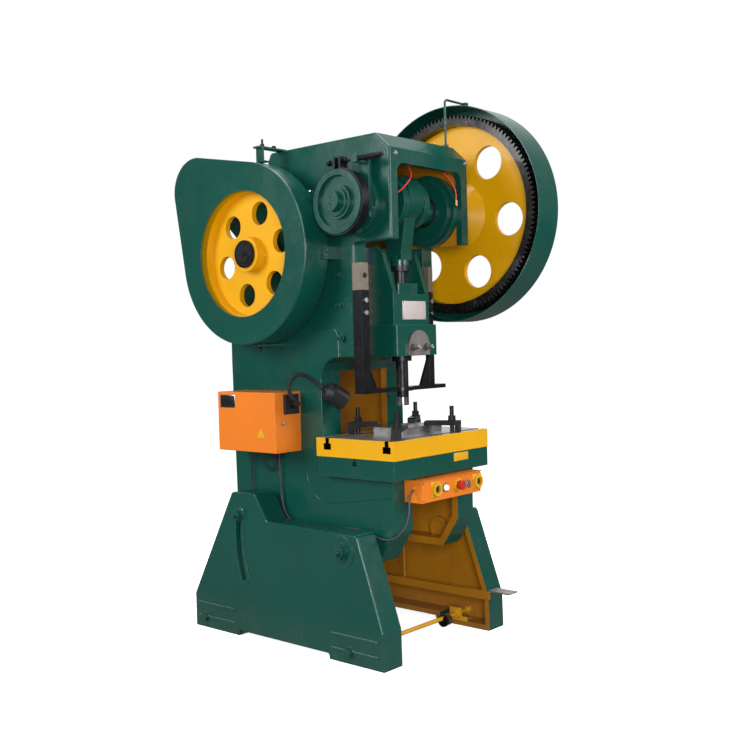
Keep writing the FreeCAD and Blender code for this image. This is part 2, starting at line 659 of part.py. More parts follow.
def flywheel_guard():
    outside = belt_loop(FLY_GUARD_X[0], FLY_GUARD_X[1], FLY_GUARD_R, MOTOR_GUARD_R)
    outside = soften(outside, FLY_GUARD_X[0], 5)
    inside = belt_loop(FLY_GUARD_X[0] + SHEET, FLY_GUARD_X[1] + 9, FLY_GUARD_R - SHEET, MOTOR_GUARD_R - SHEET)
    hole = cyl_x(FLY_GUARD_X[0] - 9, FLY_GUARD_X[0] + 30, DRIVE_Y, DRIVE_Z, FLY_WINDOW_R)
    notch = box(-292, FLY_GUARD_X[1] + 9, -400, 700, 1683, 2000)
    return cut(outside, inside, hole, notch)


def guard_brackets():
    """Straps that carry the flywheel guard: over the head, below it and at its front."""
    rim_z = DRIVE_Z + math.sqrt(FLY_GUARD_R ** 2 - (DRIVE_Y - 62) ** 2)
    strap = box(-345, -BODY_HALF + 24, 62, 100, HEAD_TOP, HEAD_TOP + 6)
    leg = box(-330, -324, 62, 100, rim_z + 9, HEAD_TOP + 1)
    saddle = box(-330, -300, 62, 100, rim_z + 8, rim_z + 14)
    top = fuse(strap, leg, saddle)
    low_z = DRIVE_Z - FLY_GUARD_R
    bottom = box(-340, -PAD_HALF, DRIVE_Y - 36, DRIVE_Y + 36, low_z - 6, low_z)
    front_y = DRIVE_Y - FLY_GUARD_R
    front = box(-300, -BODY_HALF, front_y - 14, front_y, DRIVE_Z - 40, DRIVE_Z + 6)
    return [top, bottom, front]


def gear_guard():
    x0, x1 = GEAR_GUARD_X
    bulge_r = MODULE * PINION_TEETH / 2 + 30
    outside = fuse(cyl_x(x0, x1, CRANK_Y, CRANK_Z, GEAR_GUARD_R), cyl_x(x0, x1, DRIVE_Y, DRIVE_Z, bulge_r))
    inside = fuse(cyl_x(x0 - 9, x1 - SHEET, CRANK_Y, CRANK_Z, GEAR_GUARD_R - SHEET),
                  cyl_x(x0 - 9, x1 - SHEET, DRIVE_Y, DRIVE_Z, bulge_r - SHEET))
    view = cyl_x(x0, x1 + 9, CRANK_Y, CRANK_Z, 340)
    return cut(outside, inside, view)


def gear_guard_brackets():
    """Angle brackets from the body's side to the outside of the gear guard's band."""
    brackets = []
    for angle in (0, -38):
        rim = CRANK_Y + GEAR_GUARD_R
        bar = box(BODY_HALF, 350, rim, rim + 7, CRANK_Z - 20, CRANK_Z + 20)
        foot = box(BODY_HALF, BODY_HALF + 7, rim, rim + 45, CRANK_Z - 20, CRANK_Z + 20)
        bracket = fuse(bar, foot)
        bracket.rotate(V(0, CRANK_Y, CRANK_Z), V(1, 0, 0), angle)
        brackets.append(bracket)
    return brackets


STAY_Y = -384.0


def gear_guard_stay():
    """Bent rod from the head's top to the crown of the gear guard."""
    crown = CRANK_Z + math.sqrt(GEAR_GUARD_R ** 2 - (STAY_Y + 10 - CRANK_Y) ** 2) + 6
    rod_r = 4.5
    bend = 14.0
    foot = V(208, STAY_Y, HEAD_TOP)
    turn = V(208, STAY_Y, crown - bend)
    after = V(208 + bend, STAY_Y, crown)
    middle = V(208 + bend * (1 - math.sqrt(0.5)), STAY_Y, crown - bend * (1 - math.sqrt(0.5)))
    path = Part.Wire([Part.LineSegment(foot, turn).toShape(), Part.Arc(turn, middle, after).toShape(),
                      Part.LineSegment(after, V(352, STAY_Y, crown)).toShape()])
    disc = Part.Wire([Part.Circle(foot, V(0, 0, 1), rod_r).toShape()])
    rod = path.makePipeShell([disc], True, False)
    nut = cyl_z(HEAD_TOP, HEAD_TOP + 12, 208, STAY_Y, 11)
    clip = box(326, 348, STAY_Y - 10, STAY_Y + 10, crown - 5.8, crown + 6)
    return fuse(rod, nut, clip)


def motor():
    body = cyl_x(-190, 150, MOTOR_Y, MOTOR_Z, MOTOR_R)
    bell = cyl_x(-204, -189, MOTOR_Y, MOTOR_Z, MOTOR_R - 22)
    cowl = cyl_x(149, 196, MOTOR_Y, MOTOR_Z, MOTOR_R + 4)
    feet = box(-130, 90, MOTOR_Y - 85, MOTOR_Y + 85, MOTOR_Z - MOTOR_R - 2, MOTOR_Z - MOTOR_R + 14)
    terminal = box(-70, 30, MOTOR_Y + 40, MOTOR_Y + 118, MOTOR_Z + 20, MOTOR_Z + 90)
    whole = fuse(body, bell, cowl, feet, terminal)
    return whole.cut(cyl_x(-210, -100, MOTOR_Y, MOTOR_Z, 14 + RUN))


def motor_bracket():
    top = MOTOR_Z - MOTOR_R - 2
    low = top - 14
    deck = prism_x([(slope_y(top), top), (500, top), (500, low), (slope_y(low), low)], -150, 110)
    gussets = []
    for x0 in (-150, 98):
        corners = [(slope_y(low + 1), low + 1), (480, low + 1), (slope_y(1450), 1450)]
        gussets.append(prism_x(corners, x0, x0 + 12))
    return fuse(deck, *gussets)


def drive_belts():
    belts = []
    for centre in (-336, -320, -304):
        outer = belt_loop(centre - 6, centre + 6, FLY_R + 8, PULLEY_R + 8)
        inner = belt_loop(centre - 7, centre + 7, FLY_R + SLIDE, PULLEY_R + SLIDE)
        belts.append(outer.cut(inner))
    return belts


def brake_band():
    x0, x1 = BRAKE_X[0] + 6, BRAKE_X[1] - 6
    band = ring_x(x0, x1, CRANK_Y, CRANK_Z, BRAKE_R + 6, BRAKE_R + SLIDE)
    gap = box(x0 - 1, x1 + 1, CRANK_Y - 9, CRANK_Y + 9, CRANK_Z, CRANK_Z + 200)
    lugs = []
    for side in (-1, 1):
        y0, y1 = sorted((CRANK_Y + side * 9, CRANK_Y + side * 17))
        lugs.append(box(x0, x1, y0, y1, CRANK_Z + BRAKE_R + 1, CRANK_Z + BRAKE_R + 44))
    whole = fuse(band.cut(gap), *lugs)
    return whole.cut(cyl_y(CRANK_Y - 99, CRANK_Y + 99, BRAKE_ROD_X, BRAKE_ROD_Z, 6))


BRAKE_ROD_X = -308.0
BRAKE_ROD_Z = CRANK_Z + BRAKE_R + 30
BRAKE_POST_Y = (-405.0, -362.0)


def brake_post():
    face = -BODY_HALF - 26
    post = box(face - 14, face, BRAKE_POST_Y[0], BRAKE_POST_Y[1], 1560, BRAKE_ROD_Z + 20)
    ear = box(BRAKE_ROD_X - 14, face - 12, BRAKE_POST_Y[0] + 8, BRAKE_POST_Y[1] - 8,
              BRAKE_ROD_Z - 12, BRAKE_ROD_Z + 16)
    return fuse(post, ear).cut(cyl_y(-600, -300, BRAKE_ROD_X, BRAKE_ROD_Z, 6))


def brake_rod():
    rod = cyl_y(-505, -250, BRAKE_ROD_X, BRAKE_ROD_Z, 5)
    nuts = []
    for y in (-497, BRAKE_POST_Y[0] - 2, CRANK_Y - 27, CRANK_Y + 17.2, -262):
        nuts.append(cyl_y(y, y + 9.6, BRAKE_ROD_X, BRAKE_ROD_Z, 10))
    return fuse(rod, *nuts)


def brake_spring():
    """Coil spring between the outer nut and the post's ear."""
    start = -487.2
    turns = 9
    pitch = (BRAKE_POST_Y[0] - 2 - start - 4) / turns
    helix = Part.makeHelix(pitch, pitch * turns, 9.5)
    turned = FreeCAD.Rotation(V(1, 0, 0), -90)
    helix.Placement = FreeCAD.Placement(V(BRAKE_ROD_X, start + 2, BRAKE_ROD_Z), turned)
    first = helix.Edges[0].valueAt(helix.Edges[0].FirstParameter)
    along = helix.Edges[0].tangentAt(helix.Edges[0].FirstParameter)
    disc = Part.Wire([Part.Circle(first, along, 1.8).toShape()])
    return Part.Wire(helix.Edges).makePipeShell([disc], True, True)


# ------------------------------ electrical parts -----------------------------
def electrical_box():
    shell = box(*EBOX_X, *EBOX_Y, *EBOX_Z)
    inside = box(EBOX_X[0] - 1, EBOX_X[1] - TIN, EBOX_Y[0] + TIN, EBOX_Y[1] - TIN,
                 EBOX_Z[0] + TIN, EBOX_Z[1] - TIN)
    shell = shell.cut(inside)
    glands = []
    for y in (LEAD_ENDS_Y[0], LEAD_ENDS_Y[1], CABLE_TOP[1]):
        glands.append(cyl_z(EBOX_Z[0] - 14, EBOX_Z[0] + 1, CABLE_TOP[0], y, 9))
    lock = cyl_y(EBOX_Y[0] - 6, EBOX_Y[0] + 1, -330, 830, 9)
    return fuse(shell, lock, *glands)


def box_door():
    """Shallow pan door, hinged along its rear edge."""
    x1 = EBOX_X[0] - SLIDE
    x0 = x1 - DOOR_DEEP
    pan = box(x0, x1, *EBOX_Y, *EBOX_Z)
    pan = pan.makeFillet(3, [e for e in pan.Edges if e.BoundBox.XMax < x0 + 1e-6])
    hollow = box(x0 + TIN, x1 + 1, EBOX_Y[0] + TIN, EBOX_Y[1] - TIN, EBOX_Z[0] + TIN, EBOX_Z[1] - TIN)
    return pan.cut(hollow)


def box_hinges():
    """Two leaf hinges behind the door's rear edge: barrels with their leaves on the box."""
    hinges = []
    for z in (765, 880):
        barrel = cyl_z(z, z + 40, EBOX_X[0], EBOX_Y[1] + 5, 4)
        leaf = box(EBOX_X[0] + 1, EBOX_X[0] + 22, EBOX_Y[1], EBOX_Y[1] + 3, z, z + 40)
        hinges.append(fuse(barrel, leaf))
    return hinges


LAMP_BASE = (-325.0, -250.0, 862.0, 936.0)
LAMP_START = V(-288, EBOX_Y[0] - 9, 899)
LAMP_ARM_R = 6.0
LAMP_ROUTE = [(-288, -14.3, 899), (-289, -44, 900), (-306, -68, 904), (-340, -80, 916), (-368, -84, 942),
              (-376, -88, 974), (-362, -92, 1002), (-333, -98, 1014), (-300, -108, 1004), (-274, -124, 983),
              (-255, -144, 961)]
LAMP_TIP = V(-177, -168, 910)


def lamp_base():
    plate = box(LAMP_BASE[0], LAMP_BASE[1], EBOX_Y[0] - 9, EBOX_Y[0], LAMP_BASE[2], LAMP_BASE[3])
    return plate.makeFillet(3, [e for e in plate.Edges if e.BoundBox.YMax < EBOX_Y[0] - 9 + 1e-6])


def lamp_head():
    start = V(*LAMP_ROUTE[-1])
    axis = LAMP_TIP - start
    length = axis.Length
    axis.normalize()
    start = start + axis * 2.6
    profile = [(0, 0), (0, 13), (10, 15), (18, 30), (34, 36), (length, 38.5), (length, 35.5), (36, 33), (22, 24),
               (20, 0)]
    side = V(0, 0, 1).cross(axis).normalize()
    points = [start + axis * a + side * r for a, r in profile]
    face = Part.Face(Part.makePolygon(points + [points[0]]))
    return face.revolve(start, axis, 360)


CABLE_TOP = (-250.0, 103.0)
LEAD_ENDS_Y = (258.0, 194.0)
CONTROL_ROUTE = [(-250, 103, EBOX_Z[0] - 14), (-250, 102, 640), (-250, 98, 540), (-250, 78, 470), (-250, 20, 444),
                 (-250, -80, 440), (-250, -180, 446), (-250, -270, 456), (-250, -345, 446), (-250, -405, 427),
                 (-246, -456, 430), (-232, -496, 466), (-221, -512, 518), (-217, -509, 562), (-203, -503, 590),
                 (-PANEL_HALF, -498, 605)]
MOTOR_ROUTE = [(-250, 258, EBOX_Z[0] - 14), (-250, 259, 652), (-250, 263, 596), (-250, 262, 556), (-250, 262, 524)]
LOOP_ROUTE = [(-250, 194, EBOX_Z[0] - 14), (-250, 194.5, 688), (-250, 194, 662.5), (-250, 184, 646),
              (-250, 167.5, 636.5), (-250, 148.5, 636.5), (-250, 132, 646), (-250, 122, 662.5), (-250, 122, 681)]


def cable_entries():
    """Blocks on the body's side that the two short leads run into."""
    blocks = []
    for (_, y, z), up in ((MOTOR_ROUTE[-1], False), (LOOP_ROUTE[-1], True)):
        z0, z1 = (z, z + 22) if up else (z - 22, z)
        blocks.append(box(-259, -PAD_HALF, y - 13, y + 13, z0, z1))
    return blocks


def control_box():
    before = V(*CONTROL_ROUTE[-2])
    entry = V(*CONTROL_ROUTE[-1])
    heading = (entry - before).normalize()
    gland = Part.makeCylinder(9, 20, entry - heading * 8, heading)
    shell = box(-PANEL_HALF, PANEL_HALF, *PANEL_Y, *PANEL_Z)
    lip = box(-PANEL_HALF, PANEL_HALF, PANEL_Y[0] - 7, PANEL_Y[0] + 1, PANEL_Z[1] - 3, PANEL_Z[1])
    inside = box(-PANEL_HALF + TIN, PANEL_HALF - TIN, PANEL_Y[0] + TIN, PANEL_Y[1] + 1,
                 PANEL_Z[0] + TIN, PANEL_Z[1] - TIN)
    tools = [inside]
    for x in (LEFT_BUTTON_X, RIGHT_BUTTON_X):
        tools.append(cyl_y(PANEL_Y[0] - 9, PANEL_Y[0] + 9, x, BUTTON_Z, BUTTON_R + SLIDE))
    tools.append(cyl_y(PANEL_Y[0] - 9, PANEL_Y[0] + 9, STOP_X, BUTTON_Z, BUTTON_R + SLIDE))
    tools.append(cyl_y(PANEL_Y[0] - 9, PANEL_Y[0] + 9, KEY_X, BUTTON_Z, BUTTON_R + SLIDE))
    tools.append(Part.makeCylinder(CABLE_R + RUN, 40, entry - heading * 20, heading))
    return cut(fuse(cut(fuse(shell, lip), inside), gland), *tools[1:])


def button_guards():
    """Ring guards round the two run buttons, and the stop button's collar."""
    rings = []
    for x, outer in ((LEFT_BUTTON_X, 24), (RIGHT_BUTTON_X, 24), (STOP_X, 25)):
        deep = 5 if x == STOP_X else 13
        ring = cyl_y(PANEL_Y[0] - deep, PANEL_Y[0], x, BUTTON_Z, outer)
        rings.append(ring.cut(cyl_y(PANEL_Y[0] - 20, PANEL_Y[0] + 1, x, BUTTON_Z, BUTTON_R + 4)))
    return rings


def push_button(x, reach, head_r):
    stem = cyl_y(PANEL_Y[0] - reach, PANEL_Y[0] + 30, x, BUTTON_Z, BUTTON_R)
    if head_r <= BUTTON_R:
        return stem
    head = cyl_y(PANEL_Y[0] - reach - 10, PANEL_Y[0] - reach, x, BUTTON_Z, head_r)
    return fuse(stem, head)


def key_switch():
    barrel = cyl_y(PANEL_Y[0] - 8, PANEL_Y[0] + 30, KEY_X, BUTTON_Z, BUTTON_R)
    lever = box(KEY_X - 4, KEY_X + 4, PANEL_Y[0] - 20, PANEL_Y[0] - 7, BUTTON_Z - 14, BUTTON_Z + 10)
    return fuse(barrel, lever)


# --------------------------------- tooling -----------------------------------
CLAMPS = [  # stud x, stud y, toe x, toe y, heel x, heel y
    (-110, REAR_TSLOT_Y, -70, -252, -128, -150),
    (-222, FRONT_TSLOT_Y, -70, -372, -252, -484),
    (234, REAR_TSLOT_Y, 122, -252, 262, -164),
    (98, FRONT_TSLOT_Y, 52, -372, 112, -494)]
BAR_WIDE = 32.0
BAR_THICK = 18.0


def clamp_bars():
    bars = []
    for stud_x, stud_y, toe_x, toe_y, heel_x, heel_y in CLAMPS:
        along = V(heel_x - toe_x, heel_y - toe_y, 0)
        length = along.Length
        bar = box(0, length, -BAR_WIDE / 2, BAR_WIDE / 2, 0, BAR_THICK)
        toe = [e for e in bar.Edges if e.BoundBox.XMax < 1e-6 and e.BoundBox.ZMin > BAR_THICK - 1]
        bar = bar.makeChamfer(5, toe)
        angle = math.degrees(math.atan2(along.y, along.x))
        bar.Placement = FreeCAD.Placement(V(toe_x, toe_y, DIE_TOP), FreeCAD.Rotation(V(0, 0, 1), angle))
        bars.append(bar.cut(cyl_z(DIE_TOP - 9, DIE_TOP + 40, stud_x, stud_y, STUD_R + 1)))
    return bars


def clamp_studs():
    """T-headed studs in the bolster's slots, each with its washer and nut."""
    pieces = []
    for stud_x, stud_y, _, _, _, _ in CLAMPS:
        lip = BOLSTER_TOP - SLOT_LIP * SLOT_FOOT
        head = box(stud_x - 15, stud_x + 15, stud_y - 15, stud_y + 15, lip - 13, lip)
        pieces.append(fuse(head, cyl_z(lip - 1, 878, stud_x, stud_y, STUD_R)))
        base = DIE_TOP + BAR_THICK
        washer = cyl_z(base, base + 3, stud_x, stud_y, 15)
        corners = [(stud_x + 14 * math.cos(math.radians(60 * k)), stud_y + 14 * math.sin(math.radians(60 * k)))
                   for k in range(6)]
        nut = fuse(washer, prism_z(corners, base + 2, base + 18))
        pieces.append(nut.cut(cyl_z(base - 1, base + 30, stud_x, stud_y, STUD_R + RUN)))
    return pieces


def clamp_blocks():
    """Packing blocks under the heels of the clamp bars."""
    blocks = []
    for stud_x, stud_y, toe_x, toe_y, heel_x, heel_y in CLAMPS:
        along = V(heel_x - toe_x, heel_y - toe_y, 0).normalize()
        middle = V(heel_x, heel_y, 0) - along * 10
        block = box(-9, 9, -18, 18, 0, DIE_TOP - BOLSTER_TOP)
        angle = math.degrees(math.atan2(along.y, along.x))
        turned = FreeCAD.Rotation(V(0, 0, 1), angle)
        block.Placement = FreeCAD.Placement(V(middle.x, middle.y, BOLSTER_TOP), turned)
        blocks.append(block)
    return blocks


def die_block():
    plate = box(-90, 140, -384, -240, BOLSTER_TOP, DIE_TOP)
    return plate.cut(cyl_z(BOLSTER_TOP - 9, DIE_TOP + 9, 0, CRANK_Y, PUNCH_R + SLIDE))


HOSE_LEFT = [(-66, -388, 1808), (-62, -396, 1780), (-64, -416, 1754), (-74, -438, 1730), (-94, -452, 1706),
             (-120, -454, 1682), (-140, -447, 1662), (-155, -434, 1648), (-160, -413, 1641)]
HOSE_RIGHT = [(128, -388, 1808), (132, -394, 1782), (140, -412, 1758), (152, -434, 1732), (162, -450, 1704),
              (168, -457, 1676), (168, -456, 1648)]


def hose_fittings():
    """Oil nipples: two under the head's roof and one on each crank housing."""
    fittings = []
    for route in (HOSE_LEFT, HOSE_RIGHT):
        x, y, z = route[0]
        fittings.append(cyl_z(z + 0.95, HEAD_TOP - SKIN, x, y, 6))
    x, y, z = HOSE_LEFT[-1]
    fittings.append(cyl_y(y + 1.2, CRANK_Y - 82, x, z, 6).cut(cyl_x(-300, 0, CRANK_Y, CRANK_Z, HOUSING_R)))
    x, y, z = HOSE_RIGHT[-1]
    elbow = fuse(cyl_z(z - 22, z, x, y, 6), cyl_y(y, CRANK_Y - COLLAR_RIM + 2, x, z - 16, 5))
    fittings.append(elbow.cut(cyl_x(100, 200, CRANK_Y, CRANK_Z, COLLAR_RIM + 0.2)))
    return fittings


# ================================ moving pieces ==============================
def crankshaft():
    throw = STROKE / 2
    left = cyl_x(-BODY_HALF - 26, -74, CRANK_Y, CRANK_Z, JOURNAL_R)
    nose = cyl_x(-370, -BODY_HALF - 25, CRANK_Y, CRANK_Z, 36)
    right = cyl_x(74, GEAR_X + GEAR_WIDE + 12, CRANK_Y, CRANK_Z, JOURNAL_R)
    web_z = CRANK_Z + throw / 2
    webs = [cyl_x(-75, -PIN_HALF, CRANK_Y, web_z, 92), cyl_x(PIN_HALF, 75, CRANK_Y, web_z, 92)]
    pin = cyl_x(-PIN_HALF - 1, PIN_HALF + 1, CRANK_Y, CRANK_Z + throw, PIN_R)
    return fuse(left, nose, right, pin, *webs)


def mesh_angle():
    return math.degrees(math.atan2(DRIVE_Z - CRANK_Z, DRIVE_Y - CRANK_Y))


def main_gear():
    x0 = GEAR_X
    x1 = GEAR_X + GEAR_WIDE
    rim = toothed_blank(x0, x1, CRANK_Y, CRANK_Z, GEAR_TEETH, mesh_angle())
    rim = rim.cut(cyl_x(x0 - 1, x1 + 1, CRANK_Y, CRANK_Z, 352))
    web = ring_x(x1 - 26, x1 - 6, CRANK_Y, CRANK_Z, 353, JOURNAL_R + RUN)
    hub = ring_x(x0 - 22, x1 + 10, CRANK_Y, CRANK_Z, 84, JOURNAL_R + RUN)
    flare = Part.makeCone(84, 136, 52, V(x1 - 76, CRANK_Y, CRANK_Z), V(1, 0, 0))
    flare = flare.cut(cyl_x(0, 500, CRANK_Y, CRANK_Z, 80))
    wheel = fuse(rim, web, hub, flare)
    holes = []
    for k in range(6):
        y, z = polar(CRANK_Y, CRANK_Z, 245, 128 + 60 * k)
        holes.append(cyl_x(x0 - 9, x1 + 20, y, z, 64))
    return cut(wheel, *holes)


def brake_disc():
    x0, x1 = BRAKE_X
    drum = ring_x(x0, x1, CRANK_Y, CRANK_Z, BRAKE_R, 36 + RUN)
    groove = ring_x(x0 - 1, x0 + 16, CRANK_Y, CRANK_Z, 92, 62)
    boss = ring_x(x0 - 10, x0 + 1, CRANK_Y, CRANK_Z, 52, 36 + RUN)
    return fuse(drum.cut(groove), boss)


def connecting_rod():
    top = CRANK_Z + STROKE / 2
    eye = cyl_x(-42, 42, CRANK_Y, top, 92)
    shank = prism_x([(CRANK_Y - 60, 1600), (CRANK_Y - COLLAR_R, 1450), (CRANK_Y - COLLAR_R, 1425),
                     (CRANK_Y + COLLAR_R, 1425), (CRANK_Y + COLLAR_R, 1450), (CRANK_Y + 60, 1600)], -30, 30)
    foot = cyl_z(1404, 1440, 0, CRANK_Y, COLLAR_R)
    rod = fuse(eye, shank, foot)
    return cut(rod, cyl_x(-99, 99, CRANK_Y, top, PIN_R + RUN), cyl_z(1390, 1561, 0, CRANK_Y, SCREW_R + RUN))


def ball_screw():
    stem = cyl_z(BALL_Z + 10, 1556, 0, CRANK_Y, SCREW_R)
    ball = Part.makeSphere(BALL_R, V(0, CRANK_Y, BALL_Z))
    nut = cyl_z(1384, 1403.7, 0, CRANK_Y, COLLAR_R - 2)
    return fuse(stem, ball, nut)


def long_hole(z0, z1, radius):
    """Slot along Y that leaves room for the rod's sideways swing."""
    swing = STROKE / 2
    straight = box(-radius, radius, CRANK_Y, CRANK_Y + swing, z0, z1)
    return fuse(straight, cyl_z(z0, z1, 0, CRANK_Y, radius), cyl_z(z0, z1, 0, CRANK_Y + swing, radius))


def ram():
    nose = box(-RAM_NOSE_HALF, RAM_NOSE_HALF, NOSE_FRONT, GIB_FRONT - 1, RAM_LOW, RAM_STEP)
    upright = [e for e in nose.Edges if e.BoundBox.ZLength > 60 and e.BoundBox.YMax < NOSE_FRONT + 1]
    nose = nose.makeFillet(5, upright)
    core = box(-RAM_HALF, RAM_HALF, RAM_FRONT, GUIDE_Y[0], RAM_LOW, RAM_TOP)
    guide = box(-GUIDE_HALF, GUIDE_HALF, GUIDE_Y[0], GUIDE_Y[1] - SLIDE, RAM_LOW, HEAD_LOW - 12)
    back = box(-RAM_HALF, RAM_HALF, -242, GUIDE_Y[0], RAM_TOP - 1, 1420)
    cheek_outline = [(RAM_FRONT, RAM_TOP - 1), (RAM_FRONT, 1303), (-315, 1452), (-284, 1477, 12), (-234, 1477, 12),
                     (-234, RAM_TOP - 1)]
    left = prism_x(cheek_outline, -RAM_HALF, -RAM_HALF + 20)
    right = prism_x(cheek_outline, RAM_HALF - 20, RAM_HALF)
    whole = fuse(nose, core, guide, back, left, right)
    socket = long_hole(BALL_Z - BALL_R - 8, RAM_TOP + 9, BALL_R + 0.6)
    return cut(whole, socket, cyl_z(RAM_LOW - 9, 1131, 0, CRANK_Y, SHANK_R + RUN))


def ball_cap():
    cap = box(-58, 58, -352, -243, RAM_TOP, RAM_TOP + 40)
    cap = cap.makeFillet(6, [e for e in cap.Edges if e.BoundBox.ZLength > 30])
    return cap.cut(long_hole(RAM_TOP - 9, RAM_TOP + 60, SCREW_R + 0.6))


def shank_clamp():
    """Half-round plate that grips the punch shank, held by two bolts."""
    thick = 10
    round_top = cyl_y(NOSE_FRONT - thick, NOSE_FRONT, 0, 1103, 60)
    foot = box(-60, 60, NOSE_FRONT - thick, NOSE_FRONT, RAM_LOW + 2, 1103)
    half = round_top.cut(box(-99, 99, NOSE_FRONT - 30, NOSE_FRONT + 9, 900, 1103))
    return fuse(half, foot)


def shank_bolts():
    bolts = []
    for x in (-39, 39):
        stud = cyl_y(NOSE_FRONT - 40, NOSE_FRONT - 10, x, 1101, 8)
        corners = [V(x + 14 * math.cos(math.radians(60 * k)), NOSE_FRONT - 24, 1101 + 14 * math.sin(math.radians(60 * k)))
                   for k in range(6)]
        nut = Part.Face(Part.makePolygon(corners + [corners[0]])).extrude(V(0, 14, 0))
        bolts.append(fuse(stud, nut))
    return bolts


def punch():
    shank = cyl_z(RAM_LOW - 1, 1130, 0, CRANK_Y, SHANK_R)
    collar = cyl_z(RAM_LOW - 20, RAM_LOW, 0, CRANK_Y, 37)
    body = cyl_z(PUNCH_TIP, RAM_LOW - 19, 0, CRANK_Y, PUNCH_R)
    return fuse(shank, collar, body)


def flywheel():
    x0, x1 = FLY_X
    rim = ring_x(x0, x1, DRIVE_Y, DRIVE_Z, FLY_R, 232)
    web = ring_x(-318, -296, DRIVE_Y, DRIVE_Z, 233, DRIVE_R + RUN)
    hub = ring_x(-359, -268, DRIVE_Y, DRIVE_Z, 66, DRIVE_R + RUN)
    wheel = fuse(rim, web, hub)
    holes = []
    for k in range(6):
        y, z = polar(DRIVE_Y, DRIVE_Z, 158, 105 + 60 * k)
        holes.append(cyl_x(-340, -280, y, z, 44))
    return cut(wheel, *holes)


def drive_shaft():
    shaft = cyl_x(-359.5, GEAR_X + GEAR_WIDE + 10, DRIVE_Y, DRIVE_Z, DRIVE_R)
    cap = cyl_x(-368, -359, DRIVE_Y, DRIVE_Z, 52)
    return fuse(shaft, cap)


def pinion():
    x0 = GEAR_X - 3
    x1 = GEAR_X + GEAR_WIDE + 3
    phase = mesh_angle() + 180 + 180.0 / PINION_TEETH
    blank = toothed_blank(x0, x1, DRIVE_Y, DRIVE_Z, PINION_TEETH, phase)
    hub = cyl_x(x0 - 14, x0 + 1, DRIVE_Y, DRIVE_Z, 56)
    return fuse(blank, hub).cut(cyl_x(0, 600, DRIVE_Y, DRIVE_Z, DRIVE_R + RUN))


def motor_pulley():
    wheel = cyl_x(-350, -288, MOTOR_Y, MOTOR_Z, PULLEY_R)
    shaft = cyl_x(-289, -120, MOTOR_Y, MOTOR_Z, 14)
    return fuse(wheel, shaft)


def pedal_lever():
    bar = box(PEDAL_X[0], PEDAL_X[1], -520, PEDAL_PIN_Y + 24, *PEDAL_Z)
    return bar.cut(cyl_x(0, 500, PEDAL_PIN_Y, PEDAL_PIN_Z, 10 + RUN))


def pedal_plate():
    """Tread that stands in front of the right leg, clear of it through the whole press."""
    return box(PEDAL_X[0] + 6, PEDAL_X[0] + 64, -608, -513, PEDAL_Z[1], PEDAL_Z[1] + 5)


def pull_rod():
    return cyl_z(PEDAL_Z[0] + 4, PULL_TOP, PULL_X, PULL_Y, 5)


def rod_guides():
    """Eyes on the body's side that the pull rod slides in."""
    eyes = []
    for z, face in ((1000, PAD_HALF), (1392, BODY_HALF)):
        eye = box(face, PULL_X + 12, PULL_Y - 13, PULL_Y + 13, z, z + 16)
        eyes.append(eye.cut(cyl_z(z - 9, z + 30, PULL_X, PULL_Y, 5 + SLIDE)))
    return eyes


def main():
    os.makedirs("parts", exist_ok=True)
    save("left_leg", left_leg())
    save("right_leg", right_leg())
    save("tie_rods", *tie_rods(), *tie_nuts())
    save("pivot_pins", *pivot_bolts(), pedal_pin())
    save("body_frame", body_frame())
    save("bolster", bolster())
    save("tilt_bolts", *tilt_bolts())
    save("left_housing", left_housing())
    save("right_housing", right_housing())
    save("bearings", *crank_bushes(), *drive_bearings())
    save("gibs", *gibs())
    save("stripper_frame", stripper_frame(), *stripper_blocks())
    save("flywheel_guard", flywheel_guard())
    save("gear_guard", gear_guard())
    save("side_brackets", *guard_brackets(), *gear_guard_brackets(), *rod_guides())
    save("gear_guard_stay", gear_guard_stay())
    save("motor", motor())
    save("motor_bracket", motor_bracket())
    save("drive_belts", *drive_belts())
    save("brake_band", brake_band())
    save("brake_post", brake_post())
    save("brake_rod", brake_rod())
    save("brake_spring", brake_spring())
    save("electrical_box", electrical_box())
    save("box_door", box_door())
    save("box_hinges", *box_hinges())
    save("lamp_arm", bent_tube(LAMP_ROUTE, LAMP_ARM_R, "lamp_arm"))
    save("lamp_head", lamp_base(), lamp_head())
    save("control_cable", bent_tube(CONTROL_ROUTE, CABLE_R, "control_cable"))
    save("motor_lead", bent_tube(MOTOR_ROUTE, LEAD_R, "motor_lead"))
    save("loop_lead", bent_tube(LOOP_ROUTE, LEAD_R, "loop_lead"))
    save("cable_entries", *cable_entries())
    save("control_box", control_box())
    save("button_guards", *button_guards())
    save("left_button", push_button(LEFT_BUTTON_X, 8, BUTTON_R))
    save("right_button", push_button(RIGHT_BUTTON_X, 8, BUTTON_R))
    save("stop_button", push_button(STOP_X, 12, STOP_R))
    save("key_switch", key_switch())
    save("clamp_bars", *clamp_bars(), *clamp_blocks())
    save("clamp_studs", *clamp_studs())
    save("die_block", die_block())
    save("left_hose", bent_tube(HOSE_LEFT, HOSE_R, "left_hose"))
    save("right_hose", bent_tube(HOSE_RIGHT, HOSE_R, "right_hose"))
    save("hose_fittings", *hose_fittings())
    save("crankshaft", crankshaft())
    save("main_gear", main_gear())
    save("brake_disc", brake_disc())
    save("connecting_rod", connecting_rod())
    save("ball_screw", ball_screw())
    save("ram", ram())
    save("ball_cap", ball_cap())
    save("shank_clamp", shank_clamp(), *shank_bolts())
    save("punch", punch())
    save("flywheel", flywheel())
    save("drive_shaft", drive_shaft())
    save("pinion", pinion())
    save("motor_pulley", motor_pulley())
    save("pedal_lever", pedal_lever(), pedal_plate())
    save("pull_rod", pull_rod())


main()
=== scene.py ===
import bmesh
import bpy
import math
from mathutils import Matrix, Vector


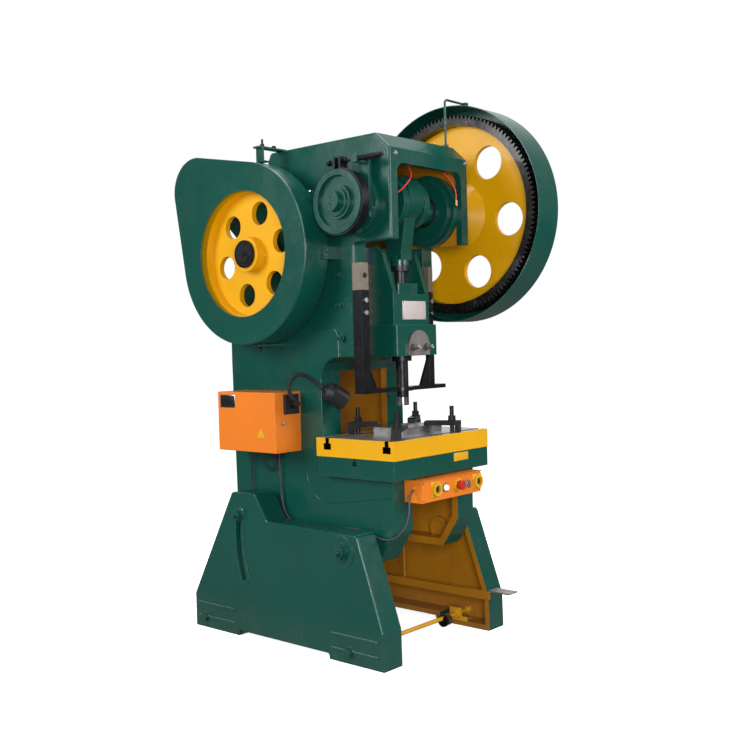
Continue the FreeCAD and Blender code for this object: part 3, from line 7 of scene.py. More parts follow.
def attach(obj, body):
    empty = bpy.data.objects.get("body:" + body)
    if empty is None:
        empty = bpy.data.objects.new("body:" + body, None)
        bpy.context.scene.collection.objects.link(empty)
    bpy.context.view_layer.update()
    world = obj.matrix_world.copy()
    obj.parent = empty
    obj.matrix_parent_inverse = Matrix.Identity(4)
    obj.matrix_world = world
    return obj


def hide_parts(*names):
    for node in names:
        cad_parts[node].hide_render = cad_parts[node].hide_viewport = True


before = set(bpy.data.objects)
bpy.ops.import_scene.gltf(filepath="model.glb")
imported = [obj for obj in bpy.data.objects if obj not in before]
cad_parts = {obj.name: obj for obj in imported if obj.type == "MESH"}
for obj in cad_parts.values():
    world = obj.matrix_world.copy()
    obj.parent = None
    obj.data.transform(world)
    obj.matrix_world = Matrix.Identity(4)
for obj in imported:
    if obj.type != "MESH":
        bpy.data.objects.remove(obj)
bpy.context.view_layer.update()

# ------------------------------ main positions (m) ------------------------------
CRANK = (-0.312, 1.617)
DRIVE = (0.1436, 1.4658)
MOTOR = (0.405, 1.730)
PIVOT = (-0.315, 0.393)
LEG_OUT = 0.361
PANEL_FRONT = -0.533
PANEL_Z = 0.596


# --------------------------------- materials -----------------------------------
class Nodes:
    """Small helper that wires shader nodes with the numbers set straight on their sockets."""

    def __init__(self, name):
        self.mat = bpy.data.materials.new(name)
        self.mat.use_nodes = True
        self.tree = self.mat.node_tree
        self.shader = self.tree.nodes["Principled BSDF"]
        self.coords = self.add("ShaderNodeTexCoord")
        self.geometry = self.add("ShaderNodeNewGeometry")
        self.axes = self.add("ShaderNodeSeparateXYZ", Vector=self.coords.outputs["Object"]).outputs
        self.facing = self.add("ShaderNodeSeparateXYZ", Vector=self.geometry.outputs["Normal"]).outputs

    def add(self, kind, **inputs):
        node = self.tree.nodes.new(kind)
        for key, value in inputs.items():
            self.put(node.inputs[key.replace("_", " ")], value)
        return node

    def put(self, socket, value):
        if isinstance(value, bpy.types.NodeSocket):
            self.tree.links.new(value, socket)
        elif isinstance(value, (tuple, list)) and len(value) == 3 and socket.type == "RGBA":
            socket.default_value = (*value, 1.0)
        else:
            socket.default_value = value

    def math(self, operation, a, b=0.0):
        node = self.tree.nodes.new("ShaderNodeMath")
        node.operation = operation
        self.put(node.inputs[0], a)
        self.put(node.inputs[1], b)
        return node.outputs[0]

    def both(self, *masks):
        whole = masks[0]
        for mask in masks[1:]:
            whole = self.math("MULTIPLY", whole, mask)
        return whole

    def either(self, *masks):
        whole = masks[0]
        for mask in masks[1:]:
            whole = self.math("MAXIMUM", whole, mask)
        return whole

    def above(self, value, limit):
        return self.math("GREATER_THAN", value, limit)

    def below(self, value, limit):
        return self.math("LESS_THAN", value, limit)

    def across(self):
        return self.math("ABSOLUTE", self.axes[0])

    def mix(self, mask, first, second, kind="RGBA"):
        node = self.tree.nodes.new("ShaderNodeMix")
        node.data_type = kind
        slots = (6, 7, 2) if kind == "RGBA" else (2, 3, 0)
        self.put(node.inputs[0], mask)
        self.put(node.inputs[slots[0]], first)
        self.put(node.inputs[slots[1]], second)
        return node.outputs[slots[2]]

    def noise(self, scale, detail=3.0, roughness=0.55):
        node = self.add("ShaderNodeTexNoise", Vector=self.coords.outputs["Object"],
                        Scale=scale, Detail=detail, Roughness=roughness)
        return node.outputs["Fac"]

    def spread(self, value, low, high, start=0.3, end=0.7):
        node = self.add("ShaderNodeMapRange", Value=value)
        node.inputs["From Min"].default_value = start
        node.inputs["From Max"].default_value = end
        self.put(node.inputs["To Min"], low)
        self.put(node.inputs["To Max"], high)
        return node.outputs[0]

    def bump(self, height, strength, distance, edge=0.0):
        node = self.add("ShaderNodeBump", Strength=strength, Distance=distance, Height=height)
        if edge:
            rim = self.add("ShaderNodeBevel", Radius=edge)
            rim.samples = 4
            self.put(node.inputs["Normal"], rim.outputs[0])
        self.put(self.shader.inputs["Normal"], node.outputs[0])

    def finish(self, color, metallic, roughness, coat=0.0):
        self.put(self.shader.inputs["Base Color"], color)
        self.put(self.shader.inputs["Metallic"], metallic)
        self.put(self.shader.inputs["Roughness"], roughness)
        self.shader.inputs["Coat Weight"].default_value = coat
        self.shader.inputs["Specular IOR Level"].default_value = 0.36
        self.shader.inputs["Coat Roughness"].default_value = 0.08
        return self.mat


GREEN = (0.0035, 0.074, 0.054)
OCHRE = (0.52, 0.21, 0.006)
YELLOW = (0.88, 0.435, 0.002)
ORANGE = (0.90, 0.225, 0.014)
BLACK = (0.011, 0.012, 0.013)
BEIGE = (0.235, 0.195, 0.15)


def painted_edge_highlight(nodes, tone, edge):
    """Painted highlight: a paler line along the edges, standing in for light caught there; noise breaks it up."""
    rim = nodes.add("ShaderNodeBevel", Radius=edge * 1.3)
    rim.samples = 6
    turn = nodes.tree.nodes.new("ShaderNodeVectorMath")
    turn.operation = "DOT_PRODUCT"
    nodes.put(turn.inputs[0], rim.outputs[0])
    nodes.put(turn.inputs[1], nodes.geometry.outputs["Normal"])
    bend = nodes.spread(turn.outputs["Value"], 0.5, 0.0, 0.80, 0.985)
    # the pale green (0.16, 0.30, 0.26) is the painted edge highlight
    return nodes.mix(nodes.both(bend, nodes.spread(nodes.noise(5.0), 0.35, 1.0)), tone, (0.16, 0.30, 0.26))


def enamel(nodes, color, second, mask, edge=0.0022, rough=0.22):
    """Glossy brushed-on enamel: faint tone drift, runs and orange peel, duller where dusty."""
    drift = nodes.noise(2.3, 4.0)
    grime = nodes.noise(9.0, 6.0, 0.7)
    deep = tuple(c * 0.78 for c in color)
    tone = nodes.mix(nodes.spread(drift, 0.0, 0.75), color, deep)
    if second:
        inner = nodes.mix(nodes.spread(grime, 0.0, 0.7), second, tuple(c * 0.62 for c in second))
        tone = nodes.mix(mask, tone, inner)
    low = nodes.add("ShaderNodeMapRange", Value=nodes.axes[2])
    low.inputs["From Min"].default_value = 0.0
    low.inputs["From Max"].default_value = 0.16
    low.inputs["To Min"].default_value = 0.22
    low.inputs["To Max"].default_value = 0.0
    dust = nodes.both(low.outputs[0], nodes.spread(grime, 0.2, 1.0))
    tone = nodes.mix(dust, tone, (0.16, 0.17, 0.15))
    # green enamel gets a painted highlight along its edges
    if color == GREEN:
        tone = painted_edge_highlight(nodes, tone, edge)
    shine = nodes.spread(grime, rough - 0.06, rough + 0.12)
    if mask is not None:
        shine = nodes.mix(mask, shine, 0.5, "FLOAT")
    peel = nodes.math("ADD", nodes.math("MULTIPLY", nodes.noise(420.0, 2.0), 0.35), nodes.noise(36.0, 3.0))
    nodes.bump(peel, 0.16, 0.0012, edge)
    return nodes.finish(tone, 0.0, shine, 0.22)


def green_paint(name="green_enamel", second=None, mask=None, edge=0.0022):
    return enamel(Nodes(name), GREEN, second, mask, edge)


def body_paint():
    """Green outside, ochre in the cavities of the casting."""
    n = Nodes("body_enamel")
    x, y, z = n.across(), n.axes[1], n.axes[2]
    toe = n.above(n.math("ADD", n.math("MULTIPLY", y, 92.0), n.math("MULTIPLY", z, 60.0)), -11.95)
    lower = n.both(n.below(x, 0.2118), n.below(z, 0.6128), n.above(y, -0.4284), n.above(z, 0.3624),
                   n.below(y, 0.3528), toe)
    middle = n.both(n.below(x, 0.2118), n.above(z, 0.6115), n.below(z, 1.0862), n.above(y, -0.0896),
                    n.below(y, 0.3528))
    slope = n.math("ADD", n.math("MULTIPLY", n.math("SUBTRACT", 1.858, z), 0.448), 0.112)
    upper = n.both(n.below(x, 0.2118), n.above(z, 1.0478), n.below(z, 1.4525), n.above(y, -0.0896),
                   n.below(y, 0.3528), n.below(y, slope))
    chamfer = n.above(n.math("SUBTRACT", y, z), -2.2275)
    head = n.both(n.below(x, 0.1942), n.above(z, 1.4515), n.below(z, 1.8302), n.above(y, -0.4402), chamfer,
                  n.below(y, slope))
    notch = n.both(n.below(z, 1.4805), n.below(y, -0.1195))
    head = n.both(head, n.math("SUBTRACT", 1.0, notch))
    sideways = n.above(n.math("ABSOLUTE", n.facing[0]), 0.5)
    rims = n.both(n.below(x, 0.1354), n.above(x, 0.1346), n.below(z, 1.3), sideways)
    inside = n.either(lower, middle, upper, head, rims)
    return enamel(n, GREEN, OCHRE, inside)


def tie_paint():
    """Yellow rods with green nuts and ends outside the legs."""
    n = Nodes("tie_enamel")
    return enamel(n, YELLOW, GREEN, n.above(n.across(), 0.345), 0.0012, 0.34)


def pin_paint():
    """Green nuts and studs, ochre where the pins end inside the casting."""
    n = Nodes("pin_enamel")
    return enamel(n, GREEN, OCHRE, n.below(n.across(), 0.262), 0.0014)


def pedal_paint():
    """Ochre lever with a bare steel tread."""
    n = Nodes("pedal_enamel")
    mat = enamel(n, OCHRE, None, None, 0.0012, 0.45)
    painted = n.shader.inputs["Base Color"].links[0].from_socket
    tread = n.both(n.above(n.axes[2], 0.1588), n.below(n.axes[1], -0.5120))
    steel = n.mix(n.spread(n.noise(40.0, 6.0), 0.0, 1.0), (0.28, 0.25, 0.22), (0.50, 0.47, 0.43))
    n.put(n.shader.inputs["Base Color"], n.mix(tread, painted, steel))
    n.put(n.shader.inputs["Metallic"], n.math("MULTIPLY", tread, 0.8))
    return mat


def leg_paint():
    """Green plate with an ochre hollow side."""
    n = Nodes("leg_enamel")
    side = n.math("MULTIPLY", n.math("SIGN", n.axes[0]), n.facing[0])
    inward_plate = n.both(n.below(side, -0.5), n.below(n.across(), 0.3395))
    to_middle = n.math("ADD", n.math("MULTIPLY", n.facing[1], n.math("MULTIPLY", n.axes[1], -1.0)),
                       n.math("MULTIPLY", n.facing[2], n.math("SUBTRACT", 0.30, n.axes[2])))
    wall = n.both(n.above(to_middle, 0.02), n.below(n.math("ABSOLUTE", n.facing[0]), 0.5),
                  n.below(n.across(), 0.3385))
    return enamel(n, GREEN, OCHRE, n.either(inward_plate, wall))


def yellow_paint(name="yellow_enamel"):
    return enamel(Nodes(name), YELLOW, None, None, 0.0018, 0.34)


def gear_paint():
    """Yellow web and hub with a dark greased rim of teeth."""
    n = Nodes("gear_enamel")
    dy = n.math("SUBTRACT", n.axes[1], CRANK[0])
    dz = n.math("SUBTRACT", n.axes[2], CRANK[1])
    far = n.math("SQRT", n.math("ADD", n.math("MULTIPLY", dy, dy), n.math("MULTIPLY", dz, dz)))
    rim = n.above(far, 0.3515)
    mat = enamel(n, YELLOW, None, None, 0.0014, 0.28)
    painted = n.shader.inputs["Base Color"].links[0].from_socket
    grease = n.mix(n.spread(n.noise(60.0), 0.0, 1.0), (0.010, 0.010, 0.011), (0.035, 0.034, 0.032))
    n.put(n.shader.inputs["Base Color"], n.mix(rim, painted, grease))
    n.put(n.shader.inputs["Metallic"], n.math("MULTIPLY", rim, 0.6))
    return mat


def bolster_paint():
    """Yellow sides, ground steel top with scratches, dark T-slots."""
    n = Nodes("bolster_enamel")
    top = n.both(n.above(n.facing[2], 0.7), n.above(n.axes[2], 0.7785))
    slot = n.either(n.both(n.below(n.math("ABSOLUTE", n.math("ADD", n.axes[1], 0.465)), 0.0183)),
                    n.both(n.below(n.math("ABSOLUTE", n.math("ADD", n.axes[1], 0.182)), 0.0183)))
    slot = n.both(slot, n.below(n.across(), 0.2796), n.below(n.axes[2], 0.779))
    mat = enamel(n, YELLOW, None, None, 0.0012, 0.34)
    painted = n.shader.inputs["Base Color"].links[0].from_socket
    grain = n.spread(n.noise(26.0, 8.0, 0.75), 0.0, 1.0)
    metal = n.mix(grain, (0.34, 0.35, 0.36), (0.66, 0.68, 0.69))
    tone = n.mix(top, painted, metal)
    n.put(n.shader.inputs["Base Color"], n.mix(slot, tone, (0.02, 0.019, 0.018)))
    n.put(n.shader.inputs["Metallic"], n.math("MULTIPLY", n.either(top, slot), 0.9))
    return mat


def metal(name, color, rough=0.35, metallic=0.9, scale=40.0, edge=0.0008, wear=0.45):
    """Machined or blackened metal with fine streaks and worn, brighter patches."""
    n = Nodes(name)
    grain = n.spread(n.noise(scale, 7.0, 0.7), 0.0, 1.0)
    darker = tuple(c * (1.0 - wear) for c in color)
    tone = n.mix(grain, darker, color)
    n.bump(n.noise(scale * 6.0, 3.0), 0.12, 0.0006, edge)
    return n.finish(tone, metallic, n.spread(n.noise(scale * 0.4), rough - 0.08, rough + 0.14))


def plastic(name, color, rough=0.42, peel=0.1, emission=None):
    n = Nodes(name)
    tone = n.mix(n.spread(n.noise(30.0), 0.0, 0.5), color, tuple(c * 0.75 for c in color))
    n.bump(n.noise(900.0, 2.0), peel, 0.0004, 0.0006)
    mat = n.finish(tone, 0.0, n.spread(n.noise(14.0), rough - 0.05, rough + 0.08))
    if emission:
        n.shader.inputs["Emission Color"].default_value = (*emission, 1.0)
        n.shader.inputs["Emission Strength"].default_value = 0.6
    return mat


def stripper_finish():
    """Blackened uprights with beige packing blocks on top."""
    n = Nodes("stripper_finish")
    block = n.above(n.axes[2], 1.3102)
    grain = n.spread(n.noise(34.0, 6.0, 0.7), 0.0, 1.0)
    dark = n.mix(grain, (0.004, 0.004, 0.005), (0.014, 0.015, 0.018))
    pale = n.mix(grain, tuple(c * 0.7 for c in BEIGE), BEIGE)
    n.bump(n.noise(160.0), 0.15, 0.0006, 0.0012)
    shine = n.mix(block, 0.24, 0.5, "FLOAT")
    return n.finish(n.mix(block, dark, pale), n.mix(block, 0.15, 0.25, "FLOAT"), shine)


def gib_finish():
    """Bronze-grey guides, bluish where the ram has polished their upper end."""
    n = Nodes("gib_finish")
    upper = n.above(n.axes[2], 1.409)
    grain = n.spread(n.noise(50.0, 6.0, 0.7), 0.0, 1.0)
    warm = n.mix(grain, (0.085, 0.066, 0.048), (0.19, 0.155, 0.12))
    cool = n.mix(grain, (0.035, 0.045, 0.075), (0.075, 0.09, 0.14))
    n.bump(n.noise(200.0), 0.12, 0.0005, 0.001)
    return n.finish(n.mix(upper, warm, cool), 0.55, 0.36)


def punch_finish():
    n = Nodes("punch_finish")
    tip = n.below(n.axes[2], 0.914)
    grain = n.spread(n.noise(60.0, 6.0, 0.7), 0.0, 1.0)
    dark = n.mix(grain, (0.012, 0.012, 0.014), (0.05, 0.05, 0.055))
    bright = n.mix(grain, (0.14, 0.14, 0.15), (0.42, 0.43, 0.44))
    n.bump(n.noise(220.0), 0.08, 0.0004, 0.001)
    return n.finish(n.mix(tip, dark, bright), 0.92, n.mix(tip, 0.38, 0.22, "FLOAT"))


def ribbed_rubber(name, color=BLACK):
    n = Nodes(name)
    n.bump(n.noise(300.0, 3.0), 0.2, 0.0005)
    return n.finish(n.mix(n.spread(n.noise(25.0), 0.0, 0.6), color, tuple(c * 2.4 for c in color)), 0.0, 0.48)


M = {
    "green": green_paint(),
    "body": body_paint(),
    "leg": leg_paint(),
    "yellow": yellow_paint(),
    "tie": tie_paint(),
    "pin": pin_paint(),
    "pedal": pedal_paint(),
    "gear": gear_paint(),
    "bolster": bolster_paint(),
    # pale green for the painted highlight lines on the foot ribs
    "edge": plastic("rib_painted_highlight", (0.11, 0.24, 0.21), 0.3),
    "orange": enamel(Nodes("orange_powder"), ORANGE, None, None, 0.0016, 0.42),
    "ochre": enamel(Nodes("ochre_enamel"), OCHRE, None, None, 0.0014, 0.5),
    "black_steel": metal("black_steel", (0.032, 0.033, 0.036), 0.36, 0.85),
    "dark_iron": metal("dark_iron", (0.060, 0.060, 0.060), 0.42, 0.8),
    "grease": metal("greased_teeth", (0.020, 0.020, 0.021), 0.34, 0.7),
    "bright": metal("bright_steel", (0.60, 0.61, 0.61), 0.26, 1.0),
    "ground": metal("ground_steel", (0.40, 0.39, 0.38), 0.32, 1.0),
    "clamp_plate": metal("clamp_plate_steel", (0.30, 0.275, 0.26), 0.42, 0.8, 30.0, 0.001, 0.3),
    "pale_plate": plastic("pale_plate", (0.60, 0.52, 0.52), 0.4, 0.03),
    "black_plate": plastic("black_plate", (0.012, 0.013, 0.015), 0.28, 0.04),
    "black_plastic": plastic("black_plastic", (0.018, 0.018, 0.021), 0.44, 0.2),
    "red": plastic("red_plastic", (0.62, 0.03, 0.018), 0.25),
    "yellow_plastic": plastic("yellow_plastic", (0.80, 0.42, 0.015), 0.35),
    "white_lens": plastic("white_lens", (0.85, 0.93, 0.82), 0.15, 0.02, (0.9, 1.0, 0.85)),
    "rubber": ribbed_rubber("black_rubber"),
    "grey_rubber": ribbed_rubber("grey_cable", (0.045, 0.04, 0.045)),
    "hose": plastic("red_hose", (0.72, 0.055, 0.045), 0.2, 0.03),
    "brass": metal("brass_metal", (0.55, 0.36, 0.11), 0.28, 1.0),
    "stripper": stripper_finish(),
    "gib": gib_finish(),
    "punch": punch_finish(),
    "motor": enamel(Nodes("motor_enamel"), (0.012, 0.085, 0.065), None, None, 0.0012, 0.4),
}

FINISH = {
    "left_leg": "leg", "right_leg": "leg", "tie_rods": "tie", "pivot_pins": "pin", "tilt_bolts": "green",
    "body_frame": "body", "bolster": "bolster", "left_housing": "green", "right_housing": "green",
    "bearings": "dark_iron", "gibs": "gib", "stripper_frame": "stripper", "flywheel_guard": "green",
    "side_brackets": "green", "gear_guard": "green", "gear_guard_stay": "green", "motor": "motor",
    "motor_bracket": "green", "drive_belts": "rubber", "brake_band": "black_steel", "brake_post": "green",
    "brake_rod": "black_steel", "brake_spring": "black_steel", "electrical_box": "orange", "box_door": "orange",
    "box_hinges": "black_steel", "lamp_head": "black_plastic", "cable_entries": "black_plastic",
    "control_box": "orange", "button_guards": "yellow_plastic", "left_button": "black_plastic",
    "right_button": "black_plastic", "stop_button": "red", "key_switch": "bright", "clamp_bars": "black_steel",
    "clamp_studs": "black_steel", "die_block": "ground", "hose_fittings": "brass", "crankshaft": "green",
    "main_gear": "gear", "brake_disc": "green", "connecting_rod": "green", "ball_screw": "dark_iron", "ram": "green",
    "ball_cap": "green", "shank_clamp": "clamp_plate", "punch": "punch", "flywheel": "yellow",
    "drive_shaft": "black_steel", "pinion": "grease", "motor_pulley": "dark_iron", "pedal_lever": "pedal",
    "pull_rod": "ochre",
}
for node, finish in FINISH.items():
    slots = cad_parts[node].data.materials
    if not len(slots):
        slots.append(M[finish])
    for index in range(len(slots)):
        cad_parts[node].material_slots[index].material = M[finish]


# ------------------------------- mesh building ----------------------------------
class Build:
    """Collects primitive shapes in one mesh, in the row frame."""

    def __init__(self):
        self.bm = bmesh.new()

    def box(self, low, high, bevel=0.0):
        size = [high[k] - low[k] for k in range(3)]
        middle = [(high[k] + low[k]) / 2 for k in range(3)]
        matrix = Matrix.Translation(middle) @ Matrix.Diagonal((*size, 1.0))
        made = bmesh.ops.create_cube(self.bm, size=1.0, matrix=matrix)
        if bevel:
            edges = list({e for v in made["verts"] for e in v.link_edges})
            bmesh.ops.bevel(self.bm, geom=edges, offset=bevel, segments=2, affect="EDGES", profile=0.5)
        return self

    def rod(self, start, end, radius, tip=None, segments=32):
        start, end = Vector(start), Vector(end)
        along = end - start
        turn = Vector((0, 0, 1)).rotation_difference(along.normalized()).to_matrix().to_4x4()
        matrix = Matrix.Translation((start + end) / 2) @ turn
        bmesh.ops.create_cone(self.bm, cap_ends=True, segments=segments, radius1=radius,
                              radius2=radius if tip is None else tip, depth=along.length, matrix=matrix)
        return self

    def bolt(self, base, axis, size, height=None, stud=0.0):
        """Washer, hexagon head and, if stud is set, the threaded end that stands out of the nut."""
        base, axis = Vector(base), Vector(axis).normalized()
        height = height or size * 0.62
        seat = base + axis * size * 0.12
        shoulder = seat + axis * height * 0.86
        top = seat + axis * height
        self.rod(base, seat, size * 0.78, segments=28)
        self.rod(seat, shoulder, size * 0.56, segments=6)
        self.rod(shoulder, top, size * 0.56, size * 0.46, segments=6)
        if stud:
            self.rod(top, top + axis * stud, size * 0.3, size * 0.26, segments=20)
        return self

    def ring(self, centre, axis, radius, thick, around=48, section=10):
        """Torus about axis."""
        axis = Vector(axis).normalized()
        turn = Vector((0, 0, 1)).rotation_difference(axis).to_matrix().to_4x4()
        matrix = Matrix.Translation(centre) @ turn
        rows = []
        for i in range(around):
            a = 2 * math.pi * i / around
            row = []
            for j in range(section):
                b = 2 * math.pi * j / section
                r = radius + thick * math.cos(b)
                place = Vector((r * math.cos(a), r * math.sin(a), thick * math.sin(b)))
                row.append(self.bm.verts.new(matrix @ place))
            rows.append(row)
        for i in range(around):
            for j in range(section):
                self.bm.faces.new((rows[i][j], rows[(i + 1) % around][j],
                                   rows[(i + 1) % around][(j + 1) % section], rows[i][(j + 1) % section]))
        return self

    def loop_x(self, x, path, thick, section=8):
        """Bead of round section along a closed path in a plane across X."""
        rows = []
        count = len(path)
        for i in range(count):
            before, after = Vector(path[i - 1]), Vector(path[(i + 1) % count])
            along = (after - before).normalized()
            row = []
            for j in range(section):
                b = 2 * math.pi * j / section
                out = thick * math.cos(b)
                row.append(self.bm.verts.new((x + thick * math.sin(b), path[i][0] + out * along.y,
                                              path[i][1] - out * along.x)))
            rows.append(row)
        for i in range(count):
            for j in range(section):
                self.bm.faces.new((rows[i][j], rows[(i + 1) % count][j],
                                   rows[(i + 1) % count][(j + 1) % section], rows[i][(j + 1) % section]))
        return self

    def mesh(self, name):
        bmesh.ops.recalc_face_normals(self.bm, faces=self.bm.faces)
        data = bpy.data.meshes.new(name)
        self.bm.to_mesh(data)
        self.bm.free()
        return data


def piece(build, name, material, body, smooth=True):
    data = build if isinstance(build, bpy.types.Mesh) else build.mesh(name)
    obj = bpy.data.objects.new(name, data)
    bpy.context.scene.collection.objects.link(obj)
    data.materials.clear()
    data.materials.append(M[material])
    if smooth:
        data.shade_smooth()
        data.set_sharp_from_angle(angle=math.radians(32))
    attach(obj, body)
    return obj


def repeat(name, prototype, places, material, body, turns=None, size=1.0):
    """One piece made of a prototype repeated at places by Geometry Nodes; turns are Euler angles."""
    proto = bpy.data.objects.new(name + "_proto", prototype.mesh(name + "_proto"))
    bpy.context.scene.collection.objects.link(proto)
    cloud = bpy.data.meshes.new(name + "_places")
    cloud.from_pydata([tuple(p) for p in places], [], [])
    holder = bpy.data.objects.new(name + "_holder", cloud)
    bpy.context.scene.collection.objects.link(holder)
    spin = cloud.attributes.new("turn", "FLOAT_VECTOR", "POINT")
    for index in range(len(places)):
        spin.data[index].vector = turns[index] if turns else (0.0, 0.0, 0.0)
    tree = bpy.data.node_groups.new(name + "_nodes", "GeometryNodeTree")
    tree.interface.new_socket(name="Geometry", in_out="INPUT", socket_type="NodeSocketGeometry")
    tree.interface.new_socket(name="Size", in_out="INPUT", socket_type="NodeSocketFloat")
    tree.interface.new_socket(name="Geometry", in_out="OUTPUT", socket_type="NodeSocketGeometry")
    enter = tree.nodes.new("NodeGroupInput")
    leave = tree.nodes.new("NodeGroupOutput")
    points = tree.nodes.new("GeometryNodeMeshToPoints")
    source = tree.nodes.new("GeometryNodeObjectInfo")
    source.inputs["Object"].default_value = proto
    angle = tree.nodes.new("GeometryNodeInputNamedAttribute")
    angle.data_type = "FLOAT_VECTOR"
    angle.inputs["Name"].default_value = "turn"
    euler = tree.nodes.new("FunctionNodeEulerToRotation")
    copies = tree.nodes.new("GeometryNodeInstanceOnPoints")
    real = tree.nodes.new("GeometryNodeRealizeInstances")
    paint = tree.nodes.new("GeometryNodeSetMaterial")
    paint.inputs["Material"].default_value = M[material]
    links = tree.links
    links.new(enter.outputs["Geometry"], points.inputs["Mesh"])
    links.new(points.outputs["Points"], copies.inputs["Points"])
    links.new(source.outputs["Geometry"], copies.inputs["Instance"])
    links.new(angle.outputs["Attribute"], euler.inputs["Euler"])
    links.new(euler.outputs["Rotation"], copies.inputs["Rotation"])
    links.new(enter.outputs["Size"], copies.inputs["Scale"])
    links.new(copies.outputs["Instances"], real.inputs["Geometry"])
    links.new(real.outputs["Geometry"], paint.inputs["Geometry"])
    links.new(paint.outputs["Geometry"], leave.inputs["Geometry"])
    modifier = holder.modifiers.new(name, "NODES")
    modifier.node_group = tree
    modifier[tree.interface.items_tree["Size"].identifier] = size
    bpy.context.view_layer.update()
    baked = bpy.data.meshes.new_from_object(holder.evaluated_get(bpy.context.evaluated_depsgraph_get()))
    bpy.data.objects.remove(holder)
    bpy.data.objects.remove(proto)
    bpy.data.node_groups.remove(tree)
    return piece(baked, name, material, body)


def circle_x(x, centre, radius, count, first=0.0):
    """Places on a circle about an axis along X."""
    places = []
    for k in range(count):
        a = math.radians(first + 360.0 * k / count)
        places.append((x, centre[0] + radius * math.cos(a), centre[1] + radius * math.sin(a)))
    return places


def bolt_x(side, size, stud=0.0):
    return Build().bolt((0, 0, 0), (side, 0, 0), size, stud=stud)


def bead(name, route, radius, material, body):
    """Cast or welded bead along a smooth open line."""
    curve = bpy.data.curves.new(name, "CURVE")
    curve.dimensions = "3D"
    curve.bevel_depth = radius
    curve.bevel_resolution = 3
    curve.use_fill_caps = True
    spline = curve.splines.new("NURBS")
    spline.points.add(len(route) - 1)
    for point, place in zip(spline.points, route):
        point.co = (*place, 1.0)
    spline.order_u = 3
    spline.use_endpoint_u = True
    obj = bpy.data.objects.new(name, curve)
    bpy.context.scene.collection.objects.link(obj)
    curve.materials.append(M[material])
    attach(obj, body)
    return obj


# ------------------------------ cords and hoses ---------------------------------
def strand(name, route, radius, material, body, node):
    """Round cord on one smooth NURBS line through its control points, given in mm."""
    curve = bpy.data.curves.new(name, "CURVE")
    curve.dimensions = "3D"
    curve.bevel_depth = radius
    curve.bevel_resolution = 5
    curve.resolution_u = 10
    curve.use_fill_caps = True
    spline = curve.splines.new("NURBS")
    spline.points.add(len(route) - 1)
    for point, place in zip(spline.points, route):
        point.co = (place[0] / 1000, place[1] / 1000, place[2] / 1000, 1.0)
    spline.order_u = 3
    spline.use_endpoint_u = True
    obj = bpy.data.objects.new(name, curve)
    bpy.context.scene.collection.objects.link(obj)
    curve.materials.append(M[material])
    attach(obj, body)
    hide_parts(node)
    return obj


def centre_line(obj):
    """Points along a strand's own line, read from its NURBS spline."""
    bare = obj.data.copy()
    bare.bevel_depth = 0.0
    twin = bpy.data.objects.new("bare", bare)
    bpy.context.scene.collection.objects.link(twin)
    bpy.context.view_layer.update()
    line = bpy.data.meshes.new_from_object(twin.evaluated_get(bpy.context.evaluated_depsgraph_get()))
    points = [v.co.copy() for v in line.vertices]
    bpy.data.objects.remove(twin)
    return points


def measure(points):
    return sum((b - a).length for a, b in zip(points, points[1:]))


CONTROL_ROUTE = [(-250, 103, 706), (-250, 102, 640), (-250, 98, 540), (-250, 78, 470), (-250, 20, 444),
                 (-250, -80, 440), (-250, -180, 446), (-250, -270, 456), (-250, -345, 446), (-250, -405, 427),
                 (-246, -456, 430), (-232, -496, 466), (-221, -512, 518), (-217, -509, 562), (-203, -503, 590),
                 (-176, -498, 605)]
MOTOR_ROUTE = [(-250, 258, 706), (-250, 259, 652), (-250, 263, 596), (-250, 262, 556), (-250, 262, 524)]
LOOP_ROUTE = [(-250, 194, 706), (-250, 194.5, 688), (-250, 194, 662.5), (-250, 184, 646), (-250, 167.5, 636.5),
              (-250, 148.5, 636.5), (-250, 132, 646), (-250, 122, 662.5), (-250, 122, 681)]
HOSE_LEFT = [(-66, -388, 1808), (-62, -396, 1780), (-64, -416, 1754), (-74, -438, 1730), (-94, -452, 1706),
             (-120, -454, 1682), (-140, -447, 1662), (-155, -434, 1648), (-160, -413, 1641)]
HOSE_RIGHT = [(128, -388, 1808), (132, -394, 1782), (140, -412, 1758), (152, -434, 1732), (162, -450, 1704),
              (168, -457, 1676), (168, -456, 1648)]
LAMP_ROUTE = [(-288, -14.3, 899), (-289, -44, 900), (-306, -68, 904), (-340, -80, 916), (-368, -84, 942),
              (-376, -88, 974), (-362, -92, 1002), (-333, -98, 1014), (-300, -108, 1004), (-274, -124, 983),
              (-255, -144, 961)]
CORDS = [
    ("control_cable_run", CONTROL_ROUTE, 0.0035, "grey_rubber", "black_rubber", "control_cable", "medium"),
    ("motor_lead_run", MOTOR_ROUTE, 0.003, "rubber", "black_rubber", "motor_lead", "medium"),
    ("loop_lead_run", LOOP_ROUTE, 0.003, "rubber", "black_rubber", "loop_lead", "medium"),
    ("left_oil_hose", HOSE_LEFT, 0.003, "hose", "red_hose", "left_hose", "medium"),
    ("right_oil_hose", HOSE_RIGHT, 0.003, "hose", "red_hose", "right_hose", "medium"),
]
for name, route, radius, finish, slot, node, stiffness in CORDS:
    run = strand(name, route, radius, finish, "frame", node)
    round(measure(centre_line(run)), 4)

arm = strand("lamp_gooseneck", LAMP_ROUTE, 0.0058, "black_plastic", "frame", "lamp_arm")
line = centre_line(arm)
step = 0.0042
places = []
turns = []
travelled = 0.0
wanted = step
for a, b in zip(line, line[1:]):
    length = (b - a).length
    while travelled + length >= wanted:
        places.append(a.lerp(b, (wanted - travelled) / length))
        turns.append(tuple((b - a).to_track_quat("Z", "Y").to_euler()))
        wanted += step
    travelled += length
repeat("gooseneck_rings", Build().ring((0, 0, 0), (0, 0, 1), 0.0059, 0.0016, 20, 6), places, "black_plastic",
       "frame", turns)

